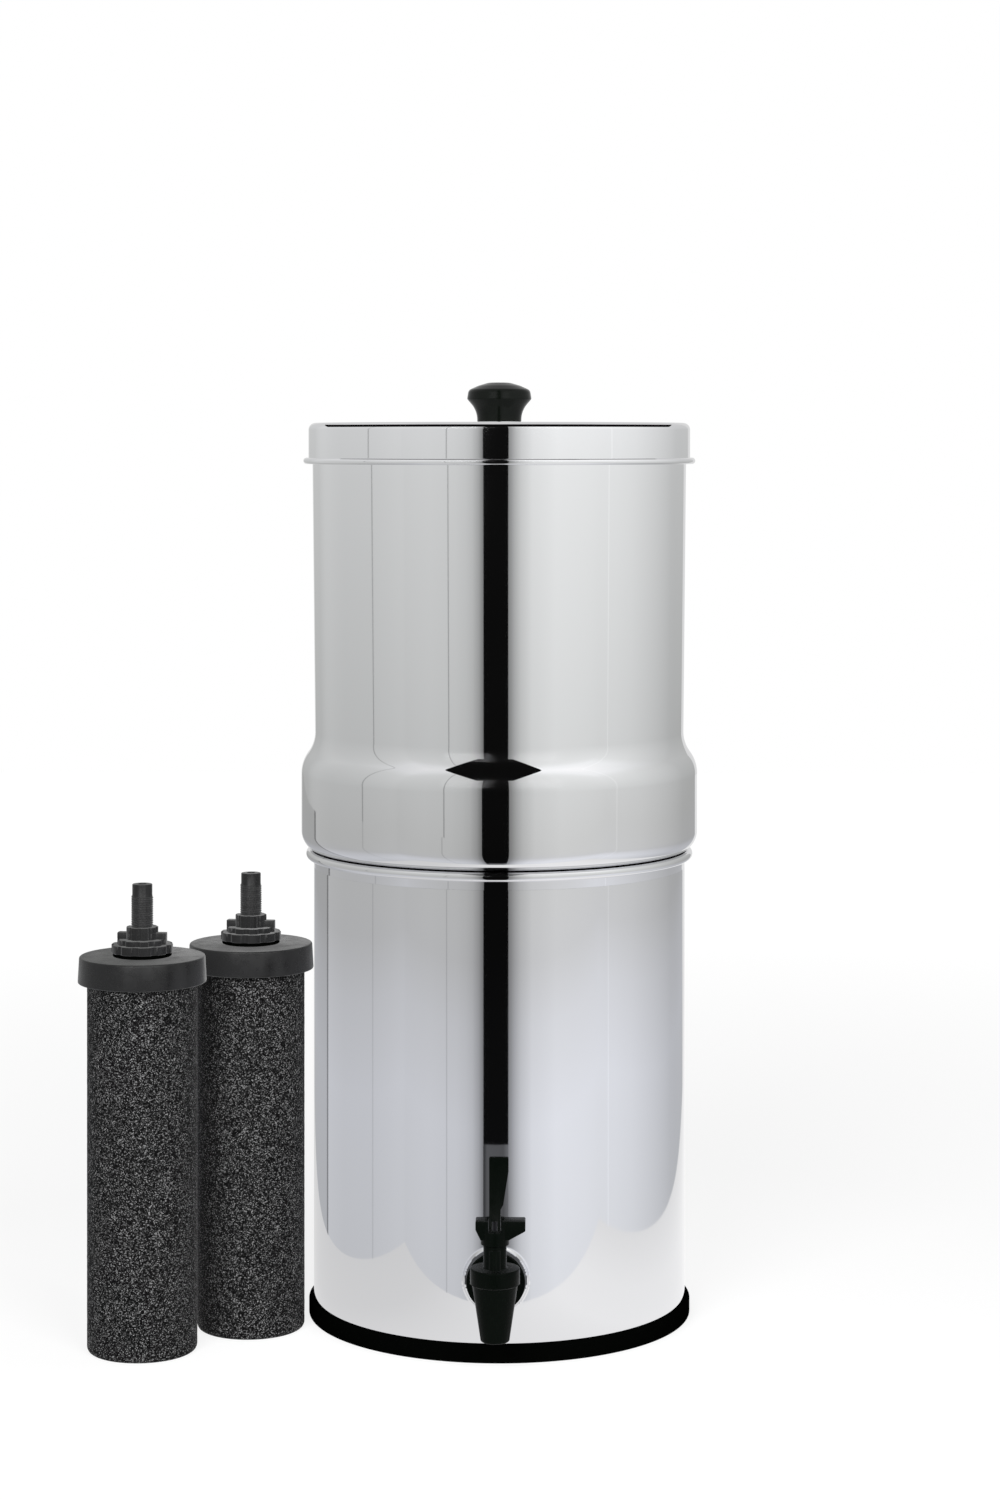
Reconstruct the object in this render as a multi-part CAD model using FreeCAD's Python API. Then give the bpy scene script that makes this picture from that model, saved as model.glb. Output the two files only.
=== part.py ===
"""Gravity water filter: two stacked polished steel chambers, a lid, a lever tap and filter elements.

Two of the four elements are fitted in the upper chamber and two stand beside the filter.
All sizes are millimetres. The origin is on the floor at the chambers' axis, +Z is up and the tap faces -Y.
"""

import FreeCAD, Part
import math
import os

Vec = FreeCAD.Vector
UP = Vec(0, 0, 1)
FORWARD = Vec(0, -1, 0)
AXIS = Vec(0, 0, 0)

# Sheet steel
CHAMBER_WALL = 0.8
LID_WALL = 0.6

# Lower chamber: a straight drum with a pressed foot and a rolled rim
LOWER_RADIUS = 108.0
RIM_HEIGHT = 267.0
RIM_CURL = 2.65
RIM_CURL_SWEEP = 300.0
FOOT_WIDTH = 9.0
FOOT_STEP = 2.4
FOOT_CORNER = 2.5

# Rubber ring that the lower chamber stands in
RING_BASE = 2.6
RING_WALL = 2.7
RING_HEIGHT = 10.0
RING_UNDER = 8.0
RING_EDGE = 1.4
RING_PLAY = 0.05

# Upper chamber: a tapered drum with a wide skirt whose round corner sits in the lower rim
SKIRT_PROUD = 7.2
SKIRT_CORNER = 12.0
SKIRT_HEIGHT = 37.2
SHOULDER_RISE = 16.0
SHOULDER_ROUND = 20.0
NECK_INSET = 8.0
MOUTH_FLARE = 1.8
MOUTH_HEIGHT = 246.6
SEAT_GAP = 0.3
SUMP_PLAY = 5.7
SUMP_DEPTH = 10.0
SUMP_CORNER = 6.0
SUMP_BEND = 1.5
MOUTH_FOLD = 0.9
MOUTH_FOLD_TAIL = 3.0

# Lid
LID_PLAY = 0.55
LID_CORNER = 4.0
LID_SKIRT = 22.0
LID_CURL = 1.8
LID_CURL_SWEEP = 290.0

# Knob on the lid, held by a screw from below
KNOB_HEIGHT = 22.8
KNOB_RADIUS = 18.4
KNOB_FOOT = 12.9
KNOB_WAIST = 6.2
KNOB_RIM = 13.2
KNOB_SHOULDER = 18.4
KNOB_CROWN = 12.2
KNOB_CROWN_DROP = 1.8
KNOB_FOOT_EDGE = 0.4
KNOB_FLARE_ROUND = 14.0
KNOB_RIM_ROUND = 1.2
KNOB_SHOULDER_ROUND = 3.0
KNOB_CROWN_ROUND = 12.0
KNOB_WASHER = 0.8
KNOB_WASHER_INSET = 0.2
KNOB_SCREW_RADIUS = 2.5
KNOB_SCREW_HEAD = 4.6
KNOB_SCREW_HEAD_HEIGHT = 2.2
KNOB_SCREW_LENGTH = 11.0
SCREW_RECESS_WIDTH = 1.0
SCREW_RECESS_DEPTH = 1.2
KNOB_INSERT_RADIUS = 4.0
KNOB_INSERT_LENGTH = 11.0
SCREW_PLAY = 0.1

# Filter element: a blind carbon tube glued in an end cap with a threaded stem
ELEMENT_RADIUS = 30.7
ELEMENT_LENGTH = 205.0
ELEMENT_BORE = 9.0
ELEMENT_END_WALL = 22.0
ELEMENT_END_ROUND = 3.0
CAP_RADIUS = 35.8
CAP_TAPER = 0.8
CAP_HEIGHT = 14.5
CAP_WEB = 3.5
CAP_EDGE = 1.0
GLUE_LINE = 0.1
STEM_RADIUS = 6.15
STEM_LENGTH = 40.0
STEM_TIP_RADIUS = 5.6
STEM_TIP_LENGTH = 6.3
STEM_BORE = 2.4

# Rubber washer and wing nut on each stem
SEAL_RADIUS = 16.4
SEAL_THICKNESS = 2.0
THREAD_PLAY = 0.05
NUT_FLANGE_RADIUS = 17.1
NUT_FLANGE_HEIGHT = 4.6
NUT_LOBES = 10
NUT_LOBE_CUT = 2.6
NUT_STEP_RADIUS = 13.9
NUT_STEP_HEIGHT = 2.8
NUT_WING_HEIGHT = 3.6
NUT_WING_THICKNESS = 5.0
NUT_HUB_RADIUS = 8.9
NUT_HEIGHT = 14.2
NUT_FLUTES = 9
NUT_FLUTE_CUT = 1.5
NUT_FLUTE_TURN = 12.0
NUT_TURN = -6.0

# Four element holes in the upper chamber's floor: two hold elements and two hold blanking plugs
HOLE_CIRCLE_RADIUS = 58.0
HOLE_PLAY = 0.35
PLUG_HEAD_RADIUS = 12.0
PLUG_HEAD_HEIGHT = 4.0
PLUG_SHANK = 24.0
PLUG_GRIP_WIDTH = 4.0
PLUG_GRIP_HEIGHT = 7.0
PLUG_GRIP_INSET = 3.0
PLUG_GRIP_FLAT = 0.2

# The pair of elements that stands beside the filter
NEAR_GAP = 2.7
NEAR_ANGLE = 195.0
FAR_GAP = 1.6
FAR_ANGLE = 219.8

# Tap: a moulded body clamped through a pressed pad in the lower chamber's wall
TAP_HEIGHT = 45.7
TAP_REACH = 24.8
PAD_RADIUS = 17.3
PAD_PRESS = 1.2
PAD_EDGE = 0.7
SHANK_RADIUS = 7.9
SHANK_PLAY = 0.3
SHANK_BORE = 5.0
SHANK_INSIDE = 23.0
FLANGE_RADIUS = 16.2
FLANGE_THICKNESS = 3.0
FLANGE_EDGE = 0.8
OUTER_WASHER_RADIUS = 15.0
WASHER_THICKNESS = 2.5
INNER_WASHER_RADIUS = 13.0
SHANK_NUT_ACROSS = 24.0
SHANK_NUT_HEIGHT = 7.0
SHANK_NUT_FLANGE = 13.2
SHANK_NUT_FLANGE_HEIGHT = 2.0
NECK_OUT_RADIUS = 9.5

# Tap body, measured from the shank's axis
SPOUT_DROP = 26.5
SPOUT_TIP_RADIUS = 7.75
SPOUT_TIP_ROUND = 1.2
SPOUT_TOP_RADIUS = 12.4
SPOUT_TOP = 4.3
BARREL_RADIUS = 13.5
BARREL_TOP = 13.4
BARREL_EDGE = 0.8
TAP_NECK_RADIUS = 6.3
TAP_NECK_TOP = 32.2
TAP_NECK_BORE = 4.9
NECK_RIB_WIDTH = 6.7
NECK_RIB_PROUD = 1.5
NECK_RIB_TOP = 23.8
VALVE_CHAMBER_RADIUS = 8.4
VALVE_SEAT_DROP = 5.6
VALVE_SEAT_RADIUS = 5.2
VALVE_SEAT_HEIGHT = 1.4
VALVE_PORT = 3.4
VALVE_ROOF = 2.2
OUTLET_RADIUS = 5.5
OUTLET_DEPTH = 14.0

# Tap bonnet: a cap screwed on the neck, with one long and one short grip wing
BONNET_RADIUS = 7.7
BONNET_SKIRT = 5.9
BONNET_ROOF = 1.4
BONNET_TOP = 39.4
WING_LONG = 16.5
WING_LONG_EDGE = 5.1
WING_LONG_BEVEL = 4.8
WING_SHORT = 10.5
WING_SHORT_EDGE = 4.4
WING_SHORT_BEVEL = 5.6
WING_DEPTH = 11.0
WING_ROUND = 0.7
SLOT_WIDTH = 7.0
SLOT_BACK = 4.6

# Tap stem, cup, spring, pin and lever
VALVE_STEM_RADIUS = 1.8
TONGUE_WIDTH = 2.6
CUP_RADIUS = 4.6
CUP_HEIGHT = 6.0
CUP_GAP = 0.05
SPRING_RADIUS = 3.4
SPRING_WIRE = 0.4
SPRING_TURNS = 6
SPRING_GAP = 0.05
PIN_RADIUS = 1.0
PIN_PLAY = 0.05
LEVER_WIDTH = 6.2
FORK_GAP = 3.0
FORK_ROOF_GAP = 1.0
LEVER_THICKNESS = 3.6
LEVER_NECK = 8.4
LEVER_LENGTH = 34.4
LEVER_ROUND = 0.4
PADDLE_FOOT_RIGHT = 4.5
PADDLE_FOOT_RISE = 2.6
PADDLE_TOP_RIGHT = 7.4
PADDLE_TOP_SIDE = 7.5
PADDLE_TIP_LEAN = 3.0
PADDLE_TIP = 0.7
CAM_RADIUS = 2.9
CAM_GAP = 0.25
LEVER_SWING = 60.0
STEM_RISE = 3.5

# Levels and places that follow from the sizes above
SKIRT_RADIUS = LOWER_RADIUS + SKIRT_PROUD
NECK_RADIUS = SKIRT_RADIUS - NECK_INSET
MOUTH_RADIUS = NECK_RADIUS + MOUTH_FLARE
SUMP_RADIUS = LOWER_RADIUS - CHAMBER_WALL - SUMP_PLAY
RIM_CENTRE_RADIUS = LOWER_RADIUS - CHAMBER_WALL + RIM_CURL
SKIRT_REACH = SKIRT_CORNER + RIM_CURL + SEAT_GAP
SKIRT_OVERHANG = RIM_CENTRE_RADIUS - (SKIRT_RADIUS - SKIRT_CORNER)
SKIRT_BOTTOM = RIM_HEIGHT + math.sqrt(SKIRT_REACH**2 - SKIRT_OVERHANG**2) - SKIRT_CORNER
UPPER_FLOOR = SKIRT_BOTTOM - SUMP_DEPTH
FLOOR_TOP = UPPER_FLOOR + CHAMBER_WALL
MOUTH_TOP = SKIRT_BOTTOM + MOUTH_HEIGHT
MOUTH_OUTSIDE = MOUTH_RADIUS - CHAMBER_WALL + 2 * MOUTH_FOLD
LID_RADIUS = MOUTH_OUTSIDE + LID_PLAY + LID_WALL
LID_INNER_CORNER = LID_CORNER - LID_WALL
MOUTH_CREST = MOUTH_RADIUS - CHAMBER_WALL + MOUTH_FOLD
LID_SEAT_OFFSET = max(0.0, MOUTH_CREST - (LID_RADIUS - LID_CORNER))
LID_CORNER_REACH = LID_INNER_CORNER - MOUTH_FOLD - SEAT_GAP
LID_TOP = (
    MOUTH_TOP - MOUTH_FOLD - math.sqrt(LID_CORNER_REACH**2 - LID_SEAT_OFFSET**2) + LID_CORNER
)
PAD_FACE = LOWER_RADIUS + PAD_PRESS
TAP_OUT = PAD_FACE + TAP_REACH
FLANGE_BACK = PAD_FACE + WASHER_THICKNESS
TAP_AXIS = Vec(0, -TAP_OUT, TAP_HEIGHT)
CEILING = TAP_NECK_TOP + BONNET_ROOF
PIN_HEIGHT = CEILING + CAM_RADIUS + CAM_GAP
CUP_BOTTOM = VALVE_SEAT_HEIGHT - VALVE_SEAT_DROP + CUP_GAP
STEM_HOLE = STEM_RADIUS + HOLE_PLAY
STEM_OVER_CAP = CAP_WEB + STEM_LENGTH
NEAR_DISTANCE = LOWER_RADIUS + CAP_RADIUS + NEAR_GAP
FAR_DISTANCE = 2 * CAP_RADIUS + FAR_GAP


def polar(distance, degrees, height=0.0):
    """Point at a distance and angle round the Z axis."""
    angle = math.radians(degrees)
    return Vec(distance * math.cos(angle), distance * math.sin(angle), height)


def flat(point):
    """Point of a section: radius and height become X and Z."""
    return Vec(point[0], 0, point[1])


def rounded_path(corners):
    """Edges of a section's path through (radius, height, fillet) corners, with each fillet as an arc."""
    edges = []
    start = Vec(corners[0][0], 0, corners[0][1])
    for index in range(1, len(corners)):
        corner = Vec(corners[index][0], 0, corners[index][1])
        fillet = corners[index][2]
        if fillet <= 0 or index == len(corners) - 1:
            edges.append(Part.LineSegment(start, corner).toShape())
            start = corner
            continue
        after = Vec(corners[index + 1][0], 0, corners[index + 1][1])
        back = (start - corner).normalize()
        ahead = (after - corner).normalize()
        half = back.getAngle(ahead) / 2
        cut = fillet / math.tan(half)
        middle = (back + ahead).normalize()
        arc_start = corner + back * cut
        arc_end = corner + ahead * cut
        crown = corner + middle * (fillet / math.sin(half) - fillet)
        if (arc_start - start).Length > 1e-6:
            edges.append(Part.LineSegment(start, arc_start).toShape())
        edges.append(Part.Arc(arc_start, crown, arc_end).toShape())
        start = arc_end
    return edges


def offset_corners(corners, distance):
    """The corners of a path that runs at a distance to the left of another, with its fillets adjusted."""
    points = [Vec(c[0], 0, c[1]) for c in corners]
    normals = []
    for a, b in zip(points, points[1:]):
        along = (b - a).normalize()
        normals.append(Vec(-along.z, 0, along.x))
    moved = []
    for index, point in enumerate(points):
        before = normals[max(index - 1, 0)]
        after = normals[min(index, len(normals) - 1)]
        shift = (before + after) * (distance / (1 + before.dot(after)))
        turn = before.cross(after).y
        fillet = corners[index][2]
        if fillet > 0:
            fillet += distance * math.copysign(1, turn)
        moved.append((point.x + shift.x, point.z + shift.z, fillet))
    return moved


def curl(near, direction, outer, wall, sweep, tail=0.0):
    """Edges of a sheet edge rolled outwards, from the sheet's outside face round to its inside face.

    near is the radius of the sheet's inside face and its height, and direction is +1 to roll over the top.
    """
    centre_r, centre_z = near[0] + outer, near[1]
    inner = outer - wall

    def at(radius, degrees):
        angle = math.radians(180 - degrees)
        return flat((centre_r + radius * math.cos(angle), centre_z + direction * radius * math.sin(angle)))

    def arc(radius, first, last):
        return Part.Arc(at(radius, first), at(radius, (first + last) / 2), at(radius, last)).toShape()

    down = Vec(0, 0, -direction * tail)
    inside_end = at(inner, sweep)
    outside_end = at(outer, sweep)
    edges = [arc(inner, 0, sweep)]
    if tail:
        edges.append(Part.LineSegment(inside_end, inside_end + down).toShape())
    edges.append(Part.LineSegment(inside_end + down, outside_end + down).toShape())
    if tail:
        edges.append(Part.LineSegment(outside_end + down, outside_end).toShape())
    edges.append(arc(outer, sweep, 0))
    return edges


def spin(edges):
    """Solid of revolution round Z from the edges of a closed section."""
    wire = Part.Wire(Part.__sortEdges__(edges))
    solid = Part.Face(wire).revolve(AXIS, UP, 360)
    return Part.Solid(solid.Shells[0]) if solid.ShapeType != "Solid" else solid


def spun(corners):
    """Solid of revolution from the closed outline through (radius, height, fillet) corners."""
    path = rounded_path(corners)
    first, last = flat(corners[0]), flat(corners[-1])
    path.append(Part.LineSegment(last, first).toShape())
    return spin(path)


def spun_shell(corners, inwards, rim):
    """Sheet metal vessel: a path from the axis outwards, its parallel, and the rim's edges between them."""
    parallel = offset_corners(corners, inwards)
    edges = rounded_path(corners) + rim + rounded_path(parallel)
    edges.append(Part.LineSegment(flat(parallel[0]), flat(corners[0])).toShape())
    return spin(edges)


def rod(radius, length, base=AXIS, direction=UP):
    return Part.makeCylinder(radius, length, base, direction)


def tube(radius, bore, length, base=AXIS, direction=UP):
    return rod(radius, length, base, direction).cut(rod(bore, length, base, direction))


def block(low, high):
    """Box between two opposite corners."""
    size = high - low
    return Part.makeBox(size.x, size.y, size.z, low)


def prism(outline, start, depth):
    """Solid of depth along +Y from start, over an outline in X and Z."""
    points = [Vec(x, start, z) for x, z in outline]
    wire = Part.makePolygon(points + points[:1])
    return Part.Face(wire).extrude(Vec(0, depth, 0))


def moved(shape, place):
    copy = shape.copy()
    copy.translate(place)
    return copy


def turned(shape, degrees, axis=UP, centre=AXIS):
    copy = shape.copy()
    copy.rotate(centre, axis, degrees)
    return copy


def edges_at(shape, test):
    return [e for e in shape.Edges if test(e)]


# Chambers and lid


def lower_chamber():
    """Drum with a raised floor, a rolled rim and a flat pad pressed out round the tap hole."""
    foot = RING_BASE
    corners = [
        (0, foot + FOOT_STEP, 0),
        (LOWER_RADIUS - FOOT_WIDTH - FOOT_STEP, foot + FOOT_STEP, 0),
        (LOWER_RADIUS - FOOT_WIDTH, foot, 0),
        (LOWER_RADIUS, foot, FOOT_CORNER),
        (LOWER_RADIUS, RIM_HEIGHT, 0),
    ]
    inside = LOWER_RADIUS - CHAMBER_WALL
    rim = curl((inside, RIM_HEIGHT), 1, RIM_CURL, CHAMBER_WALL, RIM_CURL_SWEEP)
    drum = spun_shell(corners, CHAMBER_WALL, rim)
    centre = Vec(0, 0, TAP_HEIGHT)
    press_radius = PAD_RADIUS - CHAMBER_WALL
    depth = PAD_FACE - inside / 2
    pad = rod(PAD_RADIUS, depth, centre + FORWARD * (inside / 2), FORWARD)
    rim_edge = edges_at(pad, lambda e: abs(e.BoundBox.Center.y + PAD_FACE) < 0.01 and e.Closed)
    pad = pad.makeFillet(PAD_EDGE, rim_edge)
    hollow = rod(press_radius, depth - CHAMBER_WALL, centre + FORWARD * (inside / 2), FORWARD)
    pad = pad.cut(hollow).cut(rod(inside, 2 * RIM_HEIGHT, Vec(0, 0, -RIM_HEIGHT)))
    drum = drum.cut(rod(press_radius, PAD_FACE, centre, FORWARD))
    drum = drum.fuse(pad).removeSplitter()
    return drum.cut(rod(SHANK_RADIUS + SHANK_PLAY, 2 * PAD_FACE, centre, FORWARD))


def base_ring():
    """Rubber channel round the lower chamber's foot."""
    inner = LOWER_RADIUS + RING_PLAY
    outer = inner + RING_WALL
    section = [
        (LOWER_RADIUS - RING_UNDER, 0, 0),
        (outer, 0, RING_EDGE),
        (outer, RING_HEIGHT, RING_EDGE),
        (inner, RING_HEIGHT, 0),
        (inner, RING_BASE, 0),
        (LOWER_RADIUS - RING_UNDER, RING_BASE, 0),
    ]
    return spun(section)


def upper_chamber():
    """Drum with a wide skirt and a sump floor, whose round corner rests inside the lower rim."""
    shoulder = SKIRT_BOTTOM + SKIRT_HEIGHT + SKIRT_CORNER
    corners = [
        (0, UPPER_FLOOR, 0),
        (SUMP_RADIUS, UPPER_FLOOR, SUMP_CORNER),
        (SUMP_RADIUS, SKIRT_BOTTOM, SUMP_BEND),
        (SKIRT_RADIUS, SKIRT_BOTTOM, SKIRT_CORNER),
        (SKIRT_RADIUS, shoulder, SHOULDER_ROUND),
        (NECK_RADIUS, shoulder + SHOULDER_RISE, SHOULDER_ROUND),
        (MOUTH_RADIUS, MOUTH_TOP - MOUTH_FOLD, 0),
    ]
    ends = offset_corners(corners, CHAMBER_WALL)[-1]
    fold = curl((ends[0], ends[1]), 1, MOUTH_FOLD, CHAMBER_WALL, 180.0, MOUTH_FOLD_TAIL)
    join_out = Part.LineSegment(flat(corners[-1]), fold[0].Vertexes[0].Point).toShape()
    join = [join_out] if join_out.Length > 1e-6 else []
    drum = spun_shell(corners, CHAMBER_WALL, join + fold)
    for index in range(4):
        place = polar(HOLE_CIRCLE_RADIUS, 90 * index, UPPER_FLOOR - CHAMBER_WALL)
        drum = drum.cut(rod(STEM_HOLE, 3 * CHAMBER_WALL, place))
    return drum


def lid():
    """Pressed cover with a short skirt and a rolled hem."""
    hem = LID_TOP - LID_SKIRT
    corners = [
        (0, LID_TOP, 0),
        (LID_RADIUS, LID_TOP, LID_CORNER),
        (LID_RADIUS, hem, 0),
    ]
    inside = LID_RADIUS - LID_WALL
    rim = curl((inside, hem), -1, LID_CURL, LID_WALL, LID_CURL_SWEEP)
    cover = spun_shell(corners, -LID_WALL, rim)
    return cover.cut(rod(KNOB_SCREW_RADIUS + SCREW_PLAY, LID_CORNER, Vec(0, 0, LID_TOP - LID_WALL * 2)))


# Knob


def lid_knob():
    """Moulded mushroom knob, with a blind hole for its threaded insert."""
    foot = LID_TOP + KNOB_WASHER
    top = foot + KNOB_HEIGHT
    crown_flat = KNOB_CROWN / 2
    solid = spun([
        (0, foot, 0),
        (KNOB_FOOT, foot, KNOB_FOOT_EDGE),
        (KNOB_FOOT, foot + KNOB_WAIST, KNOB_FLARE_ROUND),
        (KNOB_RADIUS + KNOB_FOOT_EDGE, foot + KNOB_RIM, KNOB_RIM_ROUND),
        (KNOB_RADIUS - KNOB_FOOT_EDGE, foot + KNOB_SHOULDER, KNOB_SHOULDER_ROUND),
        (KNOB_CROWN, top - KNOB_CROWN_DROP, KNOB_CROWN_ROUND),
        (crown_flat, top, KNOB_CROWN_ROUND),
        (0, top, 0),
    ])
    return solid.cut(rod(KNOB_INSERT_RADIUS, KNOB_INSERT_LENGTH, Vec(0, 0, foot)))


def knob_washer():
    """Thin steel disc between the knob and the lid."""
    hole = KNOB_SCREW_RADIUS + SCREW_PLAY
    return tube(KNOB_FOOT - KNOB_WASHER_INSET, hole, KNOB_WASHER, Vec(0, 0, LID_TOP))


def knob_insert():
    """Brass bush moulded into the knob."""
    hole = KNOB_SCREW_RADIUS + THREAD_PLAY
    return tube(KNOB_INSERT_RADIUS, hole, KNOB_INSERT_LENGTH, Vec(0, 0, LID_TOP + KNOB_WASHER))


def knob_screw():
    """Pan head screw that comes up through the lid."""
    under = LID_TOP - LID_WALL
    head = rod(KNOB_SCREW_HEAD, KNOB_SCREW_HEAD_HEIGHT, Vec(0, 0, under - KNOB_SCREW_HEAD_HEIGHT))
    low = edges_at(head, lambda e: e.Closed and e.BoundBox.ZMax < under - KNOB_SCREW_HEAD_HEIGHT + 0.01)
    head = head.makeFillet(KNOB_SCREW_HEAD_HEIGHT / 2, low)
    across, half = KNOB_SCREW_HEAD / 2, SCREW_RECESS_WIDTH / 2
    for angle in (0, 90):
        blade = block(Vec(-across, -half, 0), Vec(across, half, SCREW_RECESS_DEPTH))
        blade = turned(moved(blade, Vec(0, 0, under - KNOB_SCREW_HEAD_HEIGHT)), angle)
        head = head.cut(blade)
    return head.fuse(rod(KNOB_SCREW_RADIUS, KNOB_SCREW_LENGTH, Vec(0, 0, under))).removeSplitter()


# Filter element, drawn with its stem up and its closed end at height 0


def element_block():
    """Carbon tube with a closed, rounded end."""
    height = ELEMENT_LENGTH + CAP_HEIGHT - CAP_WEB
    solid = spun([
        (0, 0, 0),
        (ELEMENT_RADIUS, 0, ELEMENT_END_ROUND),
        (ELEMENT_RADIUS, height, 0),
        (0, height, 0),
    ])
    depth = height - ELEMENT_END_WALL
    return solid.cut(rod(ELEMENT_BORE, depth, Vec(0, 0, ELEMENT_END_WALL)))


def element_cap():
    """Moulded cup over the carbon's open end, with the hollow stem on it."""
    mouth = ELEMENT_LENGTH
    top = mouth + CAP_HEIGHT
    end = top + STEM_LENGTH
    solid = spun([
        (0, mouth, 0),
        (CAP_RADIUS, mouth, 0),
        (CAP_RADIUS - CAP_TAPER, top, CAP_EDGE),
        (STEM_RADIUS, top, 0),
        (STEM_RADIUS, end - STEM_TIP_LENGTH, 0),
        (STEM_TIP_RADIUS, end - STEM_TIP_LENGTH + (STEM_RADIUS - STEM_TIP_RADIUS), 0),
        (STEM_TIP_RADIUS, end, CAP_EDGE / 2),
        (0, end, 0),
    ])
    recess = rod(ELEMENT_RADIUS + GLUE_LINE, CAP_HEIGHT - CAP_WEB, Vec(0, 0, mouth))
    return solid.cut(recess).cut(rod(STEM_BORE, STEM_OVER_CAP, Vec(0, 0, top - CAP_WEB)))


def seal_washer():
    """Flat rubber washer with rounded edges, on the floor at height 0."""
    edge = SEAL_THICKNESS / 4
    bore = STEM_RADIUS + THREAD_PLAY
    return spun([
        (bore, 0, 0),
        (SEAL_RADIUS, 0, edge),
        (SEAL_RADIUS, SEAL_THICKNESS, edge),
        (bore, SEAL_THICKNESS, 0),
    ])


def scalloped(radius, height, count, cut):
    """Disc with round notches cut in its edge, which leaves that many lobes."""
    disc = rod(radius, height)
    for index in range(count):
        disc = disc.cut(rod(cut, height, polar(radius + cut / 2, 360 * (index + 0.5) / count)))
    return disc


def wing_nut():
    """Stepped moulded nut with a lobed flange, a smaller lobed step, two wings and a fluted hub."""
    nut = scalloped(NUT_FLANGE_RADIUS, NUT_FLANGE_HEIGHT, NUT_LOBES, NUT_LOBE_CUT)
    step_top = NUT_FLANGE_HEIGHT + NUT_STEP_HEIGHT
    nut = nut.fuse(scalloped(NUT_STEP_RADIUS, step_top, NUT_LOBES, NUT_LOBE_CUT))
    wing_top = step_top + NUT_WING_HEIGHT
    half = NUT_WING_THICKNESS / 2
    wings = block(Vec(-NUT_STEP_RADIUS, -half, 0), Vec(NUT_STEP_RADIUS, half, wing_top))
    nut = nut.fuse(wings.common(rod(NUT_STEP_RADIUS, wing_top)))
    hub = scalloped(NUT_HUB_RADIUS, NUT_HEIGHT, NUT_FLUTES, NUT_FLUTE_CUT)
    nut = nut.fuse(turned(hub, NUT_FLUTE_TURN))
    return nut.removeSplitter().cut(rod(STEM_RADIUS + THREAD_PLAY, NUT_HEIGHT))


def standing_element(place):
    """Named pieces of an element that stands on its closed end."""
    over_cap = Vec(0, 0, ELEMENT_LENGTH + CAP_HEIGHT)
    over_seal = over_cap + Vec(0, 0, SEAL_THICKNESS)
    return {
        "carbon": moved(element_block(), place),
        "end_cap": moved(element_cap(), place),
        "seal": moved(seal_washer(), place + over_cap),
        "wing_nut": moved(turned(wing_nut(), NUT_TURN), place + over_seal),
    }


def hung(shape):
    """Turned upside down about X."""
    return turned(shape, 180, Vec(1, 0, 0))


def fitted_element(place):
    """Named pieces of an element whose stem passes down through the upper chamber's floor."""
    cap_face = ELEMENT_LENGTH + CAP_HEIGHT
    element = Vec(place.x, place.y, FLOOR_TOP + SEAL_THICKNESS + cap_face)
    seal = Vec(place.x, place.y, FLOOR_TOP)
    nut = Vec(place.x, place.y, UPPER_FLOOR)
    return {
        "carbon": moved(hung(element_block()), element),
        "end_cap": moved(hung(element_cap()), element),
        "seal": moved(seal_washer(), seal),
        "wing_nut": moved(hung(wing_nut()), nut),
    }


def blanking_plug():
    """Plug for an unused element hole, with a finger grip. Its head's underside is at height 0."""
    head = rod(PLUG_HEAD_RADIUS, PLUG_HEAD_HEIGHT)
    rim = edges_at(head, lambda e: e.Closed and e.BoundBox.ZMin > PLUG_HEAD_HEIGHT - 0.01)
    head = head.makeFillet(PLUG_HEAD_HEIGHT / 4, rim)
    half = PLUG_GRIP_WIDTH / 2
    reach = PLUG_HEAD_RADIUS - PLUG_GRIP_INSET
    grip = block(Vec(-reach, -half, 0), Vec(reach, half, PLUG_HEAD_HEIGHT + PLUG_GRIP_HEIGHT))
    upright = edges_at(grip, lambda e: e.BoundBox.ZLength > PLUG_GRIP_HEIGHT)
    grip = grip.makeFillet(half - PLUG_GRIP_FLAT, upright)
    shank = rod(STEM_RADIUS, PLUG_SHANK, Vec(0, 0, -PLUG_SHANK))
    return head.fuse(grip).fuse(shank).removeSplitter()


# Tap, drawn with its shank's axis along Y through the origin and its body's axis on Z


def at_tap(shape):
    return moved(shape, TAP_AXIS)


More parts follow.
